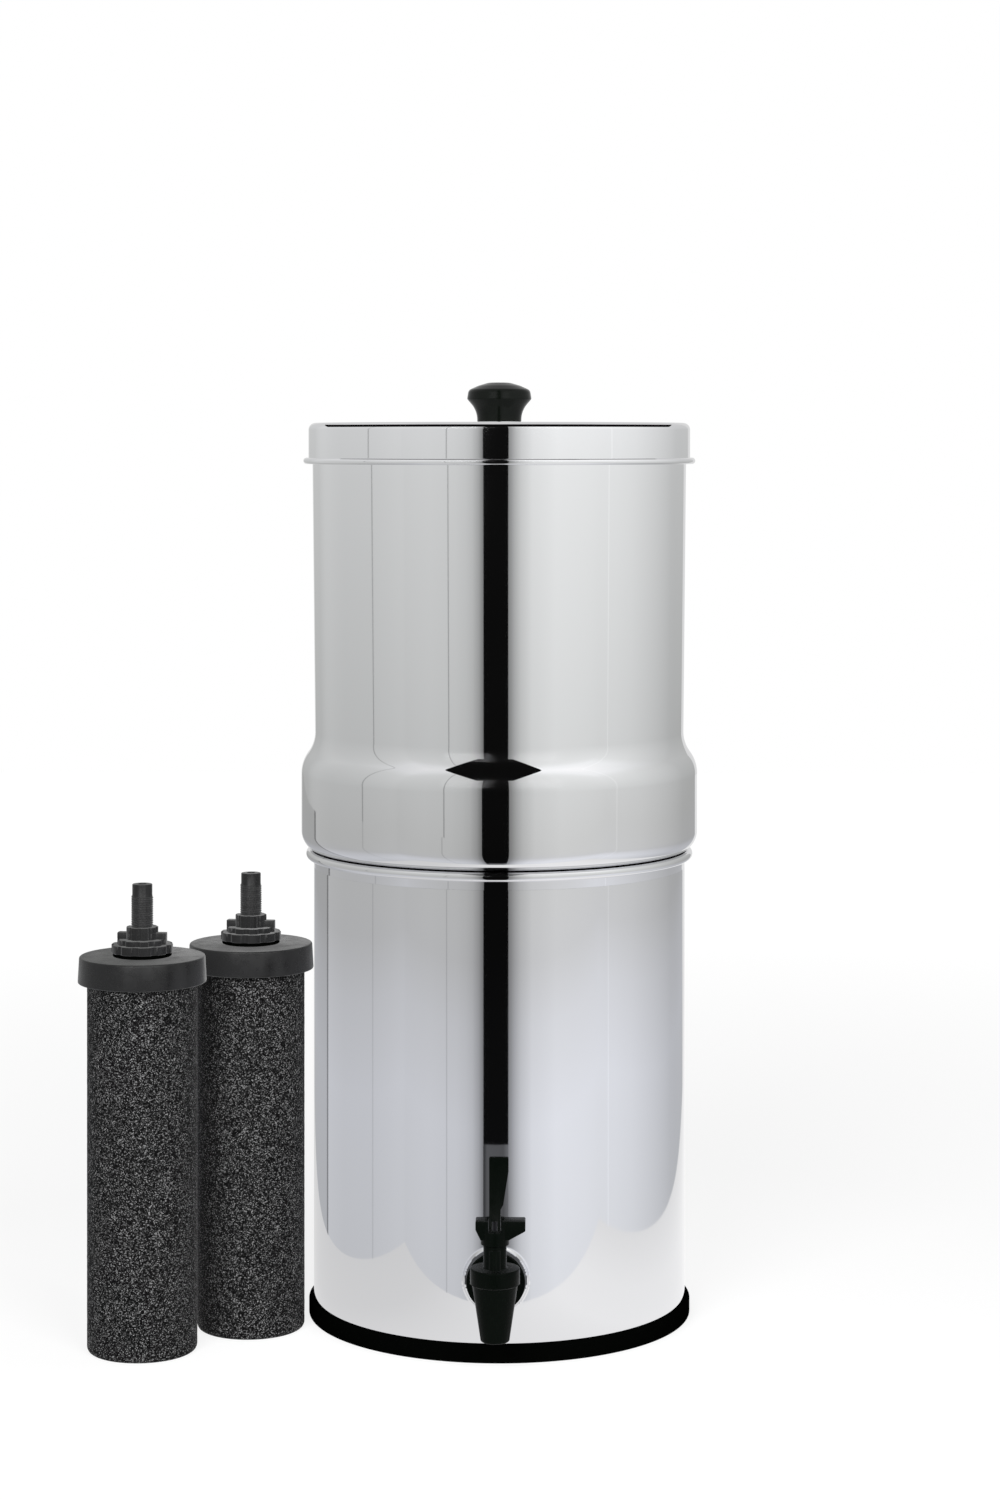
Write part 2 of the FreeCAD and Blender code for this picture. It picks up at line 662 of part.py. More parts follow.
def tap_body():
    """Moulded body: tapered spout, valve barrel, threaded neck, flange and shank."""
    body = spun([
        (0, -SPOUT_DROP, 0),
        (SPOUT_TIP_RADIUS, -SPOUT_DROP, SPOUT_TIP_ROUND),
        (SPOUT_TOP_RADIUS, SPOUT_TOP, 0),
        (BARREL_RADIUS, SPOUT_TOP + (BARREL_RADIUS - SPOUT_TOP_RADIUS) / 2, 0),
        (BARREL_RADIUS, BARREL_TOP, BARREL_EDGE),
        (TAP_NECK_RADIUS, BARREL_TOP, BARREL_EDGE),
        (TAP_NECK_RADIUS, TAP_NECK_TOP, 0),
        (0, TAP_NECK_TOP, 0),
    ])
    rib = rod(NECK_RIB_WIDTH / 2, NECK_RIB_TOP)
    rib = moved(rib, FORWARD * (TAP_NECK_RADIUS + NECK_RIB_PROUD - NECK_RIB_WIDTH / 2))
    body = body.fuse(rib)
    back = Vec(0, 1, 0)
    body = body.fuse(rod(NECK_OUT_RADIUS, TAP_OUT - FLANGE_BACK, AXIS, back))
    flange = rod(FLANGE_RADIUS, FLANGE_THICKNESS, back * (TAP_OUT - FLANGE_BACK - FLANGE_THICKNESS), back)
    front = TAP_OUT - FLANGE_BACK - FLANGE_THICKNESS
    front_edge = edges_at(flange, lambda e: e.Closed and abs(e.BoundBox.Center.y - front) < 0.01)
    body = body.fuse(flange.makeFillet(FLANGE_EDGE, front_edge))
    shank_end = TAP_OUT - FLANGE_BACK + WASHER_THICKNESS + SHANK_INSIDE
    body = body.fuse(rod(SHANK_RADIUS, shank_end, AXIS, back)).removeSplitter()
    valve_floor = Vec(0, 0, -VALVE_SEAT_DROP)
    valve = rod(VALVE_CHAMBER_RADIUS, BARREL_TOP - VALVE_ROOF + VALVE_SEAT_DROP, valve_floor)
    seat = rod(VALVE_SEAT_RADIUS, VALVE_SEAT_HEIGHT, valve_floor)
    body = body.cut(valve.cut(seat))
    body = body.cut(rod(TAP_NECK_BORE, TAP_NECK_TOP))
    body = body.cut(rod(VALVE_PORT, SPOUT_DROP, Vec(0, 0, -SPOUT_DROP)))
    body = body.cut(rod(OUTLET_RADIUS, OUTLET_DEPTH, Vec(0, 0, -SPOUT_DROP)))
    return body.cut(rod(SHANK_BORE, shank_end, AXIS, back))


def tap_bonnet():
    """Cap on the tap's neck with two unequal grip wings and a slot for the lever's cam."""
    skirt_bottom = TAP_NECK_TOP - BONNET_SKIRT
    cap = rod(BONNET_RADIUS, BONNET_TOP - skirt_bottom, Vec(0, 0, skirt_bottom))
    bonnet = cap
    wings = (
        (1, WING_LONG, WING_LONG_EDGE, WING_LONG_BEVEL),
        (-1, WING_SHORT, WING_SHORT_EDGE, WING_SHORT_BEVEL),
    )
    for side, reach, edge, bevel in wings:
        outline = [
            (0, BONNET_TOP),
            (side * reach, BONNET_TOP),
            (side * reach, BONNET_TOP - edge),
            (side * BONNET_RADIUS, BONNET_TOP - edge - bevel),
            (0, BONNET_TOP - edge - bevel),
        ]
        wing = prism(outline, -WING_DEPTH / 2, WING_DEPTH)
        tips = edges_at(
            wing, lambda e: abs(e.BoundBox.XMin - side * reach) < 0.01 and e.BoundBox.XLength < 0.01
        )
        bonnet = bonnet.fuse(wing.makeFillet(WING_ROUND, tips))
    bonnet = bonnet.removeSplitter()
    bonnet = bonnet.cut(rod(TAP_NECK_RADIUS + THREAD_PLAY, BONNET_SKIRT, Vec(0, 0, skirt_bottom)))
    half = SLOT_WIDTH / 2
    slot = block(Vec(-half, -2 * BONNET_RADIUS, CEILING), Vec(half, SLOT_BACK, 2 * BONNET_TOP))
    bonnet = bonnet.cut(slot)
    return bonnet.cut(rod(VALVE_STEM_RADIUS + SCREW_PLAY, BONNET_TOP, AXIS))


def tap_outer_washer():
    back = Vec(0, 1, 0)
    start = back * (TAP_OUT - FLANGE_BACK)
    return tube(OUTER_WASHER_RADIUS, SHANK_RADIUS + THREAD_PLAY, WASHER_THICKNESS, start, back)


def inside_wall():
    """Distance from the tap's axis to the flat inside face of the pressed pad."""
    return TAP_REACH + CHAMBER_WALL


def tap_inner_washer():
    back = Vec(0, 1, 0)
    start = back * inside_wall()
    return tube(INNER_WASHER_RADIUS, SHANK_RADIUS + THREAD_PLAY, WASHER_THICKNESS, start, back)


def tap_shank_nut():
    """Flanged hexagon nut on the shank, inside the lower chamber."""
    back = Vec(0, 1, 0)
    start = inside_wall() + WASHER_THICKNESS
    corner = SHANK_NUT_ACROSS / math.sqrt(3)
    corners = [polar(corner, 60 * k) for k in range(6)]
    nut = prism([(p.x, p.y) for p in corners], start, SHANK_NUT_HEIGHT)
    nut = nut.fuse(rod(SHANK_NUT_FLANGE, SHANK_NUT_FLANGE_HEIGHT, back * start, back))
    return nut.removeSplitter().cut(rod(SHANK_RADIUS + THREAD_PLAY, SHANK_NUT_HEIGHT, back * start, back))


def valve_stem():
    """Rod from the seat cup up to the lever's pin, with a flat tongue at its top."""
    bottom = CUP_BOTTOM + CUP_HEIGHT / 3
    top = PIN_HEIGHT + VALVE_STEM_RADIUS
    stem = rod(VALVE_STEM_RADIUS, top - bottom, Vec(0, 0, bottom))
    half = TONGUE_WIDTH / 2
    wide = VALVE_STEM_RADIUS * 2
    low = CEILING + SCREW_PLAY - STEM_RISE
    for side in (-1, 1):
        a, b = sorted((side * half, side * wide))
        stem = stem.cut(block(Vec(a, -wide, low), Vec(b, wide, top + wide)))
    return stem.cut(rod(PIN_RADIUS + PIN_PLAY, 2 * wide, Vec(-wide, 0, PIN_HEIGHT), Vec(1, 0, 0)))


def seat_cup():
    """Rubber cup at the stem's lower end, which closes the valve port."""
    lip = CUP_HEIGHT / 3
    cup = spun([
        (0, CUP_BOTTOM, 0),
        (CUP_RADIUS, CUP_BOTTOM, 0),
        (CUP_RADIUS, CUP_BOTTOM + lip, 0),
        (SPRING_RADIUS + SPRING_WIRE, CUP_BOTTOM + CUP_HEIGHT, 0),
        (0, CUP_BOTTOM + CUP_HEIGHT, 0),
    ])
    return cup.cut(rod(VALVE_STEM_RADIUS, CUP_HEIGHT, Vec(0, 0, CUP_BOTTOM + lip)))


def valve_spring():
    """Coil round the stem, between the seat cup and the bonnet's roof."""
    low = CUP_BOTTOM + CUP_HEIGHT + SPRING_WIRE + SPRING_GAP
    high = TAP_NECK_TOP - SPRING_WIRE - SPRING_GAP
    helix = Part.makeHelix((high - low) / SPRING_TURNS, high - low, SPRING_RADIUS)
    helix.translate(Vec(0, 0, low))
    ring = Part.makeCircle(SPRING_WIRE, Vec(SPRING_RADIUS, 0, low), Vec(0, 1, 0))
    return Part.Wire(helix.Edges).makePipeShell([Part.Wire(ring)], True, True)


def lever_pin():
    return rod(PIN_RADIUS, LEVER_WIDTH, Vec(-LEVER_WIDTH / 2, 0, PIN_HEIGHT), Vec(1, 0, 0))


def cam_outline():
    """Foot of the lever in Y and Z from the pin. Its reach grows with the swing, which lifts the stem."""
    rise = STEM_RISE / math.radians(LEVER_SWING)
    points = []
    steps = 6
    for step in range(steps + 1):
        swing = math.radians(LEVER_SWING) * step / steps
        reach = CAM_RADIUS + rise * swing
        across, down = math.sin(swing), math.cos(swing)
        points.append(Vec(0, -reach * across - rise * down, -reach * down + rise * across))
    return points


def tap_lever():
    """Forked cam foot, neck and one-sided paddle, all one moulding. It is drawn about the pin's centre."""
    half = LEVER_WIDTH / 2
    thick = LEVER_THICKNESS / 2
    cam = cam_outline()
    spiral = Part.BSplineCurve()
    spiral.interpolate(cam)
    heel, toe = cam[0], cam[-1]
    back = Vec(0, CAM_RADIUS, 0)
    low = Vec(0, 0, -CAM_RADIUS)
    round_corner = (back + low).normalize() * CAM_RADIUS
    crown = Vec(0, thick, LEVER_NECK)
    front = Vec(0, -thick, LEVER_NECK)
    belly = Vec(0, toe.y, 0)
    foot_edges = [
        spiral.toShape(),
        Part.LineSegment(toe, belly).toShape(),
        Part.LineSegment(belly, front).toShape(),
        Part.LineSegment(front, crown).toShape(),
        Part.LineSegment(crown, back).toShape(),
        Part.Arc(back, round_corner, low).toShape(),
        Part.LineSegment(low, heel).toShape(),
    ]
    foot = Part.Face(Part.Wire(Part.__sortEdges__(foot_edges))).extrude(Vec(LEVER_WIDTH, 0, 0))
    foot = moved(foot, Vec(-half, 0, 0))
    top = LEVER_LENGTH + BONNET_TOP - PIN_HEIGHT
    outline = [
        (-half, 0),
        (half, 0),
        (half, LEVER_NECK),
        (PADDLE_FOOT_RIGHT, LEVER_NECK + PADDLE_FOOT_RISE),
        (PADDLE_TOP_RIGHT, top - PADDLE_TOP_SIDE),
        (PADDLE_TOP_RIGHT, top),
        (-half, top),
    ]
    reach = LEVER_THICKNESS + PADDLE_TIP_LEAN
    sheet = prism(outline, -reach, 2 * reach)
    side = [
        (thick, 0),
        (thick, LEVER_NECK),
        (thick - PADDLE_TIP_LEAN, top),
        (PADDLE_TIP - thick - PADDLE_TIP_LEAN, top),
        (-thick, LEVER_NECK),
        (-thick, 0),
    ]
    side_points = [Vec(-half, y, z) for y, z in side]
    side_face = Part.Face(Part.makePolygon(side_points + side_points[:1]))
    paddle = side_face.extrude(Vec(half + PADDLE_TOP_RIGHT, 0, 0)).common(sheet)
    lever = foot.fuse(paddle).removeSplitter()
    paddle_edges = edges_at(
        lever, lambda e: e.BoundBox.ZMin > LEVER_NECK - 0.01 and e.BoundBox.ZMax > top - 0.01
    )
    lever = lever.makeFillet(LEVER_ROUND, paddle_edges)
    gap = FORK_GAP / 2
    room = 2 * (CAM_RADIUS + STEM_RISE)
    lever = lever.cut(block(Vec(-gap, -room, -room), Vec(gap, room, VALVE_STEM_RADIUS + FORK_ROOF_GAP)))
    lever = lever.cut(rod(PIN_RADIUS + PIN_PLAY, 2 * LEVER_WIDTH, Vec(-LEVER_WIDTH, 0, 0), Vec(1, 0, 0)))
    return moved(lever, Vec(0, 0, PIN_HEIGHT))


def all_parts():
    """Every node's shape by its name, in place."""
    parts = {
        "lower_chamber": lower_chamber(),
        "base_ring": base_ring(),
        "upper_chamber": upper_chamber(),
        "lid": lid(),
        "lid_knob": lid_knob(),
        "knob_washer": knob_washer(),
        "knob_insert": knob_insert(),
        "knob_screw": knob_screw(),
        "tap_body": at_tap(tap_body()),
        "tap_bonnet": at_tap(tap_bonnet()),
        "tap_outer_washer": at_tap(tap_outer_washer()),
        "tap_inner_washer": at_tap(tap_inner_washer()),
        "tap_shank_nut": at_tap(tap_shank_nut()),
        "tap_valve_stem": at_tap(valve_stem()),
        "tap_seat_cup": at_tap(seat_cup()),
        "tap_spring": at_tap(valve_spring()),
        "tap_lever_pin": at_tap(lever_pin()),
        "tap_lever": at_tap(tap_lever()),
    }
    near = polar(NEAR_DISTANCE, NEAR_ANGLE)
    far = near + polar(FAR_DISTANCE, FAR_ANGLE)
    for name, place in (("near_element", near), ("far_element", far)):
        for piece, shape in standing_element(place).items():
            parts[f"{name}_{piece}"] = shape
    for name, angle in (("fitted_element_right", 0), ("fitted_element_left", 180)):
        for piece, shape in fitted_element(polar(HOLE_CIRCLE_RADIUS, angle)).items():
            parts[f"{name}_{piece}"] = shape
    plugs, seals, nuts = [], [], []
    for angle in (90, 270):
        hole = polar(HOLE_CIRCLE_RADIUS, angle)
        seals.append(moved(seal_washer(), hole + Vec(0, 0, FLOOR_TOP)))
        plugs.append(moved(blanking_plug(), hole + Vec(0, 0, FLOOR_TOP + SEAL_THICKNESS)))
        nuts.append(moved(hung(wing_nut()), hole + Vec(0, 0, UPPER_FLOOR)))
    parts["blanking_plugs"] = Part.Compound(plugs)
    parts["blanking_plug_seals"] = Part.Compound(seals)
    parts["blanking_plug_nuts"] = Part.Compound(nuts)
    return parts


os.makedirs("parts", exist_ok=True)
for name, shape in all_parts().items():
    shape.exportStep(f"parts/{name}.step")
    state = "ok" if shape.isValid() and all(s.isClosed() for s in shape.Solids) else "BROKEN"
    print(f"{name}: {len(shape.Solids)} solid(s), {shape.Volume / 1000:.2f} cm3, {state}")
print(f"lid top {LID_TOP:.2f}, knob top {LID_TOP + KNOB_WASHER + KNOB_HEIGHT:.2f}")
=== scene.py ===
"""A gravity water filter in polished steel with a lever tap and four filter elements. Sizes are in metres."""

import math

import bmesh
import bpy
from mathutils import Matrix, Vector, noise
from mathutils.geometry import delaunay_2d_cdt


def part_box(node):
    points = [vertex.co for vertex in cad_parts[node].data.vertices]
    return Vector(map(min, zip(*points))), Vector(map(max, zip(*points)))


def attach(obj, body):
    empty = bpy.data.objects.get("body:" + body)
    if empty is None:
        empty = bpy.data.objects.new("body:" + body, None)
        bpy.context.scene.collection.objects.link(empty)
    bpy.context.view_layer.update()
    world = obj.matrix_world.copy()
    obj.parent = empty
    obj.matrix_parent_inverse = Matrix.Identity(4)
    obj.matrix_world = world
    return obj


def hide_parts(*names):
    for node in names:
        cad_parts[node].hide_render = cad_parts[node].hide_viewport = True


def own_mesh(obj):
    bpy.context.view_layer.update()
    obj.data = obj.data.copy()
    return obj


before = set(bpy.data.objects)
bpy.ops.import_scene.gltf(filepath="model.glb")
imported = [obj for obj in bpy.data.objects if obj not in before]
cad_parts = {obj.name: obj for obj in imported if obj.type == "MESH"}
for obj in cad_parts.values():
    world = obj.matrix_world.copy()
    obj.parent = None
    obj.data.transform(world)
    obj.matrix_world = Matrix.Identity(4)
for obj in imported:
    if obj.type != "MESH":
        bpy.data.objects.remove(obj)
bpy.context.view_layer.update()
scene = bpy.context.scene
scene.view_settings.view_transform = "Standard"


# The camera stands level with the lid, a little to the right of the tap, and looks straight at the chambers.
# Its picture is shifted down to take in the foot, as on a view camera, so that upright lines stay upright.
CAMERA_DISTANCE = 1.85
CAMERA_HEIGHT = 0.5054
CAMERA_TURN = math.radians(1.0)
SENSOR = 36.0
PICTURE_HEIGHT = 1500
FOCAL_PIXELS = 3170
HORIZON_PIXELS = 307
AXIS_PIXELS = 0.7

camera = bpy.data.objects.new("camera", bpy.data.cameras.new("camera"))
camera.data.sensor_width = SENSOR
camera.data.lens = FOCAL_PIXELS / PICTURE_HEIGHT * SENSOR
camera.data.shift_x = AXIS_PIXELS / PICTURE_HEIGHT
camera.data.shift_y = -HORIZON_PIXELS / PICTURE_HEIGHT
camera.location = (
    CAMERA_DISTANCE * math.sin(CAMERA_TURN),
    -CAMERA_DISTANCE * math.cos(CAMERA_TURN),
    CAMERA_HEIGHT,
)
camera.rotation_euler = (math.radians(90), 0, CAMERA_TURN)
scene.collection.objects.link(camera)
scene.camera = camera


# The lower chamber is a straight drum of polished stainless sheet, 0.8 mm thick, deep drawn in one piece.
# Its foot is pressed in, its rim is rolled over outwards, and a flat round pad is pressed out for the tap.
WALL = 0.0008
DRUM_RADIUS = 0.108
FOOT_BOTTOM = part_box("lower_chamber")[0].z
RIM_CURL = 0.00265
RIM_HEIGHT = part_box("lower_chamber")[1].z - RIM_CURL
FOOT_WIDTH = 0.009
FOOT_STEP = 0.0024
FOOT_CORNER = 0.0025
TAP_HEIGHT = 0.0457
PAD_RADIUS = 0.0173
PAD_PRESS = 0.0012
PAD_BLEND = 0.0012
SHANK_HOLE = 0.0082
GRID = 0.0005
RIM_SWEEP = math.radians(300)
REST_STEPS = 200
LARGE_STEPS = 256
SMALL_STEPS = 96
TINY = 1e-7
SHARP_FROM = math.radians(35)


def fillet_path(corners, steps=10):
    """Points along a path of (radius, height, fillet) corners, with each fillet as an arc of steps."""
    points = []
    for index, (r, z, fillet) in enumerate(corners):
        if fillet <= 0 or index in (0, len(corners) - 1):
            points.append((r, z))
            continue
        corner = Vector((r, z))
        back = (Vector(corners[index - 1][:2]) - corner).normalized()
        ahead = (Vector(corners[index + 1][:2]) - corner).normalized()
        half = back.angle(ahead) / 2
        centre = corner + (back + ahead).normalized() * (fillet / math.sin(half))
        first = corner + back * (fillet / math.tan(half)) - centre
        turn = math.pi - 2 * half
        side = 1 if back.x * ahead.y - back.y * ahead.x < 0 else -1
        for step in range(steps + 1):
            angle = side * turn * step / steps
            spoke = Vector((
                first.x * math.cos(angle) - first.y * math.sin(angle),
                first.x * math.sin(angle) + first.y * math.cos(angle),
            ))
            points.append(tuple(centre + spoke))
    return points


def beside(points, distance):
    """The path that runs at a distance to the left of another."""
    shifted = []
    for index, point in enumerate(points):
        before = Vector(points[max(index - 1, 0)])
        after = Vector(points[min(index + 1, len(points) - 1)])
        here = Vector(point)
        normals = []
        for a, b in ((before, here), (here, after)):
            along = b - a
            if along.length > TINY:
                normals.append(Vector((-along.y, along.x)).normalized())
        middle = (normals[0] + normals[-1]) / 2
        shifted.append(tuple(here + middle * (distance / middle.length_squared)))
    return shifted


def rolled_edge(r, z, way, outer, wall, sweep, steps=28):
    """Section of a sheet edge rolled outwards from the inside face at (r, z): inner arc, then outer."""
    points = []
    for radius, angles in ((outer - wall, range(steps + 1)), (outer, range(steps, -1, -1))):
        for step in angles:
            angle = math.pi - sweep * step / steps
            points.append((r + outer + radius * math.cos(angle), z + way * radius * math.sin(angle)))
    return points


def shaped(name, vertices, faces, finish):
    """A mesh with a finish, smooth but for its sharp edges."""
    mesh = bpy.data.meshes.new(name)
    mesh.from_pydata(vertices, [], faces)
    mesh.validate()
    mesh.shade_smooth()
    mesh.set_sharp_from_angle(angle=SHARP_FROM)
    mesh.materials.append(finish)
    return mesh


def placed(name, mesh, body, node=None):
    """A piece of a mesh that rides on a body and stands for a node, if it has one."""
    piece = bpy.data.objects.new(name, mesh)
    scene.collection.objects.link(piece)
    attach(piece, body)
    if node:
        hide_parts(node)
    return piece


def turned_mesh(outline, angles, closed=True, place=(0, 0, 0)):
    """Vertices and faces of (radius, height) points turned round Z. A point on the axis becomes one."""
    vertices, rings = [], []
    x, y, lift = place
    for r, z in outline:
        if r < TINY:
            rings.append([len(vertices)] * len(angles))
            vertices.append((x, y, z + lift))
            continue
        rings.append(list(range(len(vertices), len(vertices) + len(angles))))
        vertices += [(x + r * math.cos(a), y + r * math.sin(a), z + lift) for a in angles]
    faces = []
    for i in range(len(rings) if closed else len(rings) - 1):
        lower, upper = rings[i], rings[(i + 1) % len(rings)]
        for j in range(len(angles)):
            k = (j + 1) % len(angles)
            face = list(dict.fromkeys([lower[j], lower[k], upper[k], upper[j]]))
            if len(face) > 2:
                faces.append(face)
    return vertices, faces


def even_angles(count):
    """Angles in even steps round a full turn."""
    return [2 * math.pi * index / count for index in range(count)]


def tap_side_angles(count, half_width, step):
    """Angles round the drum, close together across the pad on the -Y side and wider elsewhere."""
    front = -math.pi / 2
    fine = math.ceil(half_width / step)
    angles = [front + half_width * index / fine for index in range(-fine, fine + 1)]
    rest = 2 * math.pi - 2 * half_width
    angles += [front + half_width + rest * index / count for index in range(1, count)]
    return angles


def pressed_pad(vertex):
    """A wall point moved out to the flat pad if it lies under it, with a short slope at the pad's edge."""
    x, y, z = vertex
    if y > 0 or not DRUM_RADIUS - 2 * WALL < math.hypot(x, y) < DRUM_RADIUS + WALL / 2:
        return vertex
    across = math.hypot(x, z - TAP_HEIGHT)
    share = min(max((PAD_RADIUS + PAD_BLEND - across) / PAD_BLEND, 0), 1)
    share = share * share * (3 - 2 * share)
    depth = DRUM_RADIUS - math.hypot(x, y)
    flat = -(DRUM_RADIUS + PAD_PRESS - depth)
    return (x, y + (flat - y) * share, z)


def group(name, tree_type, inputs, outputs):
    """A new node group with its sockets, and its input and output nodes."""
    tree = bpy.data.node_groups.new(name, tree_type)
    for socket, kind, value in inputs:
        item = tree.interface.new_socket(socket, in_out="INPUT", socket_type=kind)
        if value is not None:
            item.default_value = value
    for socket, kind in outputs:
        tree.interface.new_socket(socket, in_out="OUTPUT", socket_type=kind)
    return tree, tree.nodes.new("NodeGroupInput"), tree.nodes.new("NodeGroupOutput")


def add(tree, kind, settings=(), **inputs):
    """A new node with its settings and its input values or links. An input's name has _ for each space."""
    node = tree.nodes.new(kind)
    for key, value in dict(settings).items():
        setattr(node, key, value)
    for key, value in inputs.items():
        socket = node.inputs[int(key[1:])] if key[1:].isdigit() else node.inputs[key.replace("_", " ")]
        if isinstance(value, bpy.types.NodeSocket):
            tree.links.new(value, socket)
        else:
            socket.default_value = value
    return node


def material(name, color, metallic=0.0, **sockets):
    """A new material with its colour and plain socket values set on its Principled shader."""
    made = bpy.data.materials.new(name)
    made.use_nodes = True
    shader = made.node_tree.nodes["Principled BSDF"]
    shader.inputs["Base Color"].default_value = (*color, 1)
    shader.inputs["Metallic"].default_value = metallic
    for key, value in sockets.items():
        shader.inputs[key.replace("_", " ")].default_value = value
    return made, made.node_tree, shader


# Handled steel and plastic carry faint smears and fine dust, which change how rough they are from place
# to place. Each smooth finish takes its roughness from this group.
handling, handling_in, handling_out = group(
    "handling_marks", "ShaderNodeTree",
    [("Roughness", "NodeSocketFloat", 0.05), ("Smear", "NodeSocketFloat", 0.02),
     ("Scale", "NodeSocketFloat", 30.0), ("Stretch", "NodeSocketFloat", 1.0)],
    [("Roughness", "NodeSocketFloat")],
)
place = add(handling, "ShaderNodeTexCoord")
stretch = add(handling, "ShaderNodeCombineXYZ", X=1.0, Y=1.0, Z=handling_in.outputs["Stretch"])
smeared = add(handling, "ShaderNodeVectorMath", {"operation": "MULTIPLY"}, _0=place.outputs["Object"],
              _1=stretch.outputs[0])
cloud = add(handling, "ShaderNodeTexNoise", Vector=smeared.outputs[0], Scale=handling_in.outputs["Scale"],
            Detail=6.0, Roughness=0.62)
mask = add(handling, "ShaderNodeMapRange", Value=cloud.outputs["Fac"], From_Min=0.42, From_Max=0.72)
extra = add(handling, "ShaderNodeMath", {"operation": "MULTIPLY"}, _0=mask.outputs[0],
            _1=handling_in.outputs["Smear"])
total = add(handling, "ShaderNodeMath", {"operation": "ADD"}, _0=extra.outputs[0],
            _1=handling_in.outputs["Roughness"])
handling.links.new(total.outputs[0], handling_out.inputs["Roughness"])


def marked(tree, shader, roughness, smear, scale, stretched=1.0):
    """Handling marks on a material's roughness."""
    marks = add(tree, "ShaderNodeGroup", {"node_tree": handling}, Roughness=roughness, Smear=smear,
                Scale=scale, Stretch=stretched)
    tree.links.new(marks.outputs["Roughness"], shader.inputs["Roughness"])


def bumped(tree, shader, height, strength, distance):
    """A bump from a height socket on a material's normal."""
    bump = add(tree, "ShaderNodeBump", Height=height, Strength=strength, Distance=distance)
    tree.links.new(bump.outputs[0], shader.inputs["Normal"])


def grained(tree, shader, scale, detail, strength, distance):
    """A fine moulded grain on a material's normal."""
    where = add(tree, "ShaderNodeTexCoord")
    grain = add(tree, "ShaderNodeTexNoise", Vector=where.outputs["Object"], Scale=scale, Detail=detail)
    bumped(tree, shader, grain.outputs["Fac"], strength, distance)


# Polished stainless: near-white metal with the long faint waves that drawing leaves in the sheet, and a
# polisher's haze.
steel, steel_tree, steel_shader = material("polished_steel", (0.80, 0.80, 0.815), 1.0)
marked(steel_tree, steel_shader, 0.03, 0.03, 9.0, 0.5)
steel_place = add(steel_tree, "ShaderNodeTexCoord")
steel_long = add(steel_tree, "ShaderNodeVectorMath", {"operation": "MULTIPLY"},
                 _0=steel_place.outputs["Object"], _1=(1.0, 1.0, 0.12))
steel_waves = add(steel_tree, "ShaderNodeTexNoise", Vector=steel_long.outputs[0], Scale=26.0, Detail=1.0)
bumped(steel_tree, steel_shader, steel_waves.outputs["Fac"], 0.05, 0.0014)

pad_bottom = TAP_HEIGHT - PAD_RADIUS - 2 * PAD_BLEND
pad_rows = round(2 * (PAD_RADIUS + 2 * PAD_BLEND) / GRID)
drum_path = fillet_path([
    (0, FOOT_BOTTOM + FOOT_STEP, 0),
    (DRUM_RADIUS - FOOT_WIDTH - FOOT_STEP, FOOT_BOTTOM + FOOT_STEP, 0),
    (DRUM_RADIUS - FOOT_WIDTH, FOOT_BOTTOM, 0),
    (DRUM_RADIUS, FOOT_BOTTOM, FOOT_CORNER),
    (DRUM_RADIUS, pad_bottom, 0),
])
drum_path += [(DRUM_RADIUS, pad_bottom + GRID * row) for row in range(1, pad_rows + 1)]
drum_path.append((DRUM_RADIUS, RIM_HEIGHT))
drum_rim = rolled_edge(DRUM_RADIUS - WALL, RIM_HEIGHT, 1, RIM_CURL, WALL, RIM_SWEEP)
drum_inside = beside(drum_path, WALL)[:-1]
drum_outline = drum_path + drum_rim[::-1][1:-1] + drum_inside[::-1]
drum_angles = tap_side_angles(REST_STEPS, (PAD_RADIUS + 2 * PAD_BLEND) / DRUM_RADIUS, GRID / DRUM_RADIUS)
drum_vertices, drum_faces = turned_mesh(drum_outline, drum_angles)
drum_vertices = [pressed_pad(vertex) for vertex in drum_vertices]


def in_shank_hole(vertex):
    """Whether a point of the wall lies in the hole for the tap's shank."""
    x, y, z = vertex
    return y < -DRUM_RADIUS / 2 and math.hypot(x, z - TAP_HEIGHT) < SHANK_HOLE


drum_faces = [
    face for face in drum_faces if not any(in_shank_hole(drum_vertices[corner]) for corner in face)
]
placed("drum", shaped("drum", drum_vertices, drum_faces, steel), "lower", "lower_chamber")


# The base ring is an extruded rubber channel, pushed on round the drum's foot. It shines where it has
# been wiped.
ring_low, ring_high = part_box("base_ring")
RING_RADIUS = ring_high.x
RING_EDGE = 0.0014
RING_WALL = 0.0027
RING_GRIP = RING_RADIUS - RING_WALL
RING_INSIDE = 0.100
rubber, rubber_tree, rubber_shader = material(
    "black_rubber", (0.0010, 0.0012, 0.0010), Specular_IOR_Level=0.0)
marked(rubber_tree, rubber_shader, 0.5, 0.22, 60.0)
grained(rubber_tree, rubber_shader, 900.0, 4.0, 0.12, 0.0004)
ring_outline = fillet_path([
    (RING_INSIDE, ring_low.z, 0),
    (RING_RADIUS, ring_low.z, RING_EDGE),
    (RING_RADIUS, ring_high.z, RING_EDGE),
    (RING_GRIP, ring_high.z, 0),
    (RING_GRIP, FOOT_BOTTOM, 0),
    (RING_INSIDE, FOOT_BOTTOM, 0),
])
foot_ring = shaped("foot_ring", *turned_mesh(ring_outline, even_angles(LARGE_STEPS)), rubber)
placed("foot_ring", foot_ring, "lower", "base_ring")


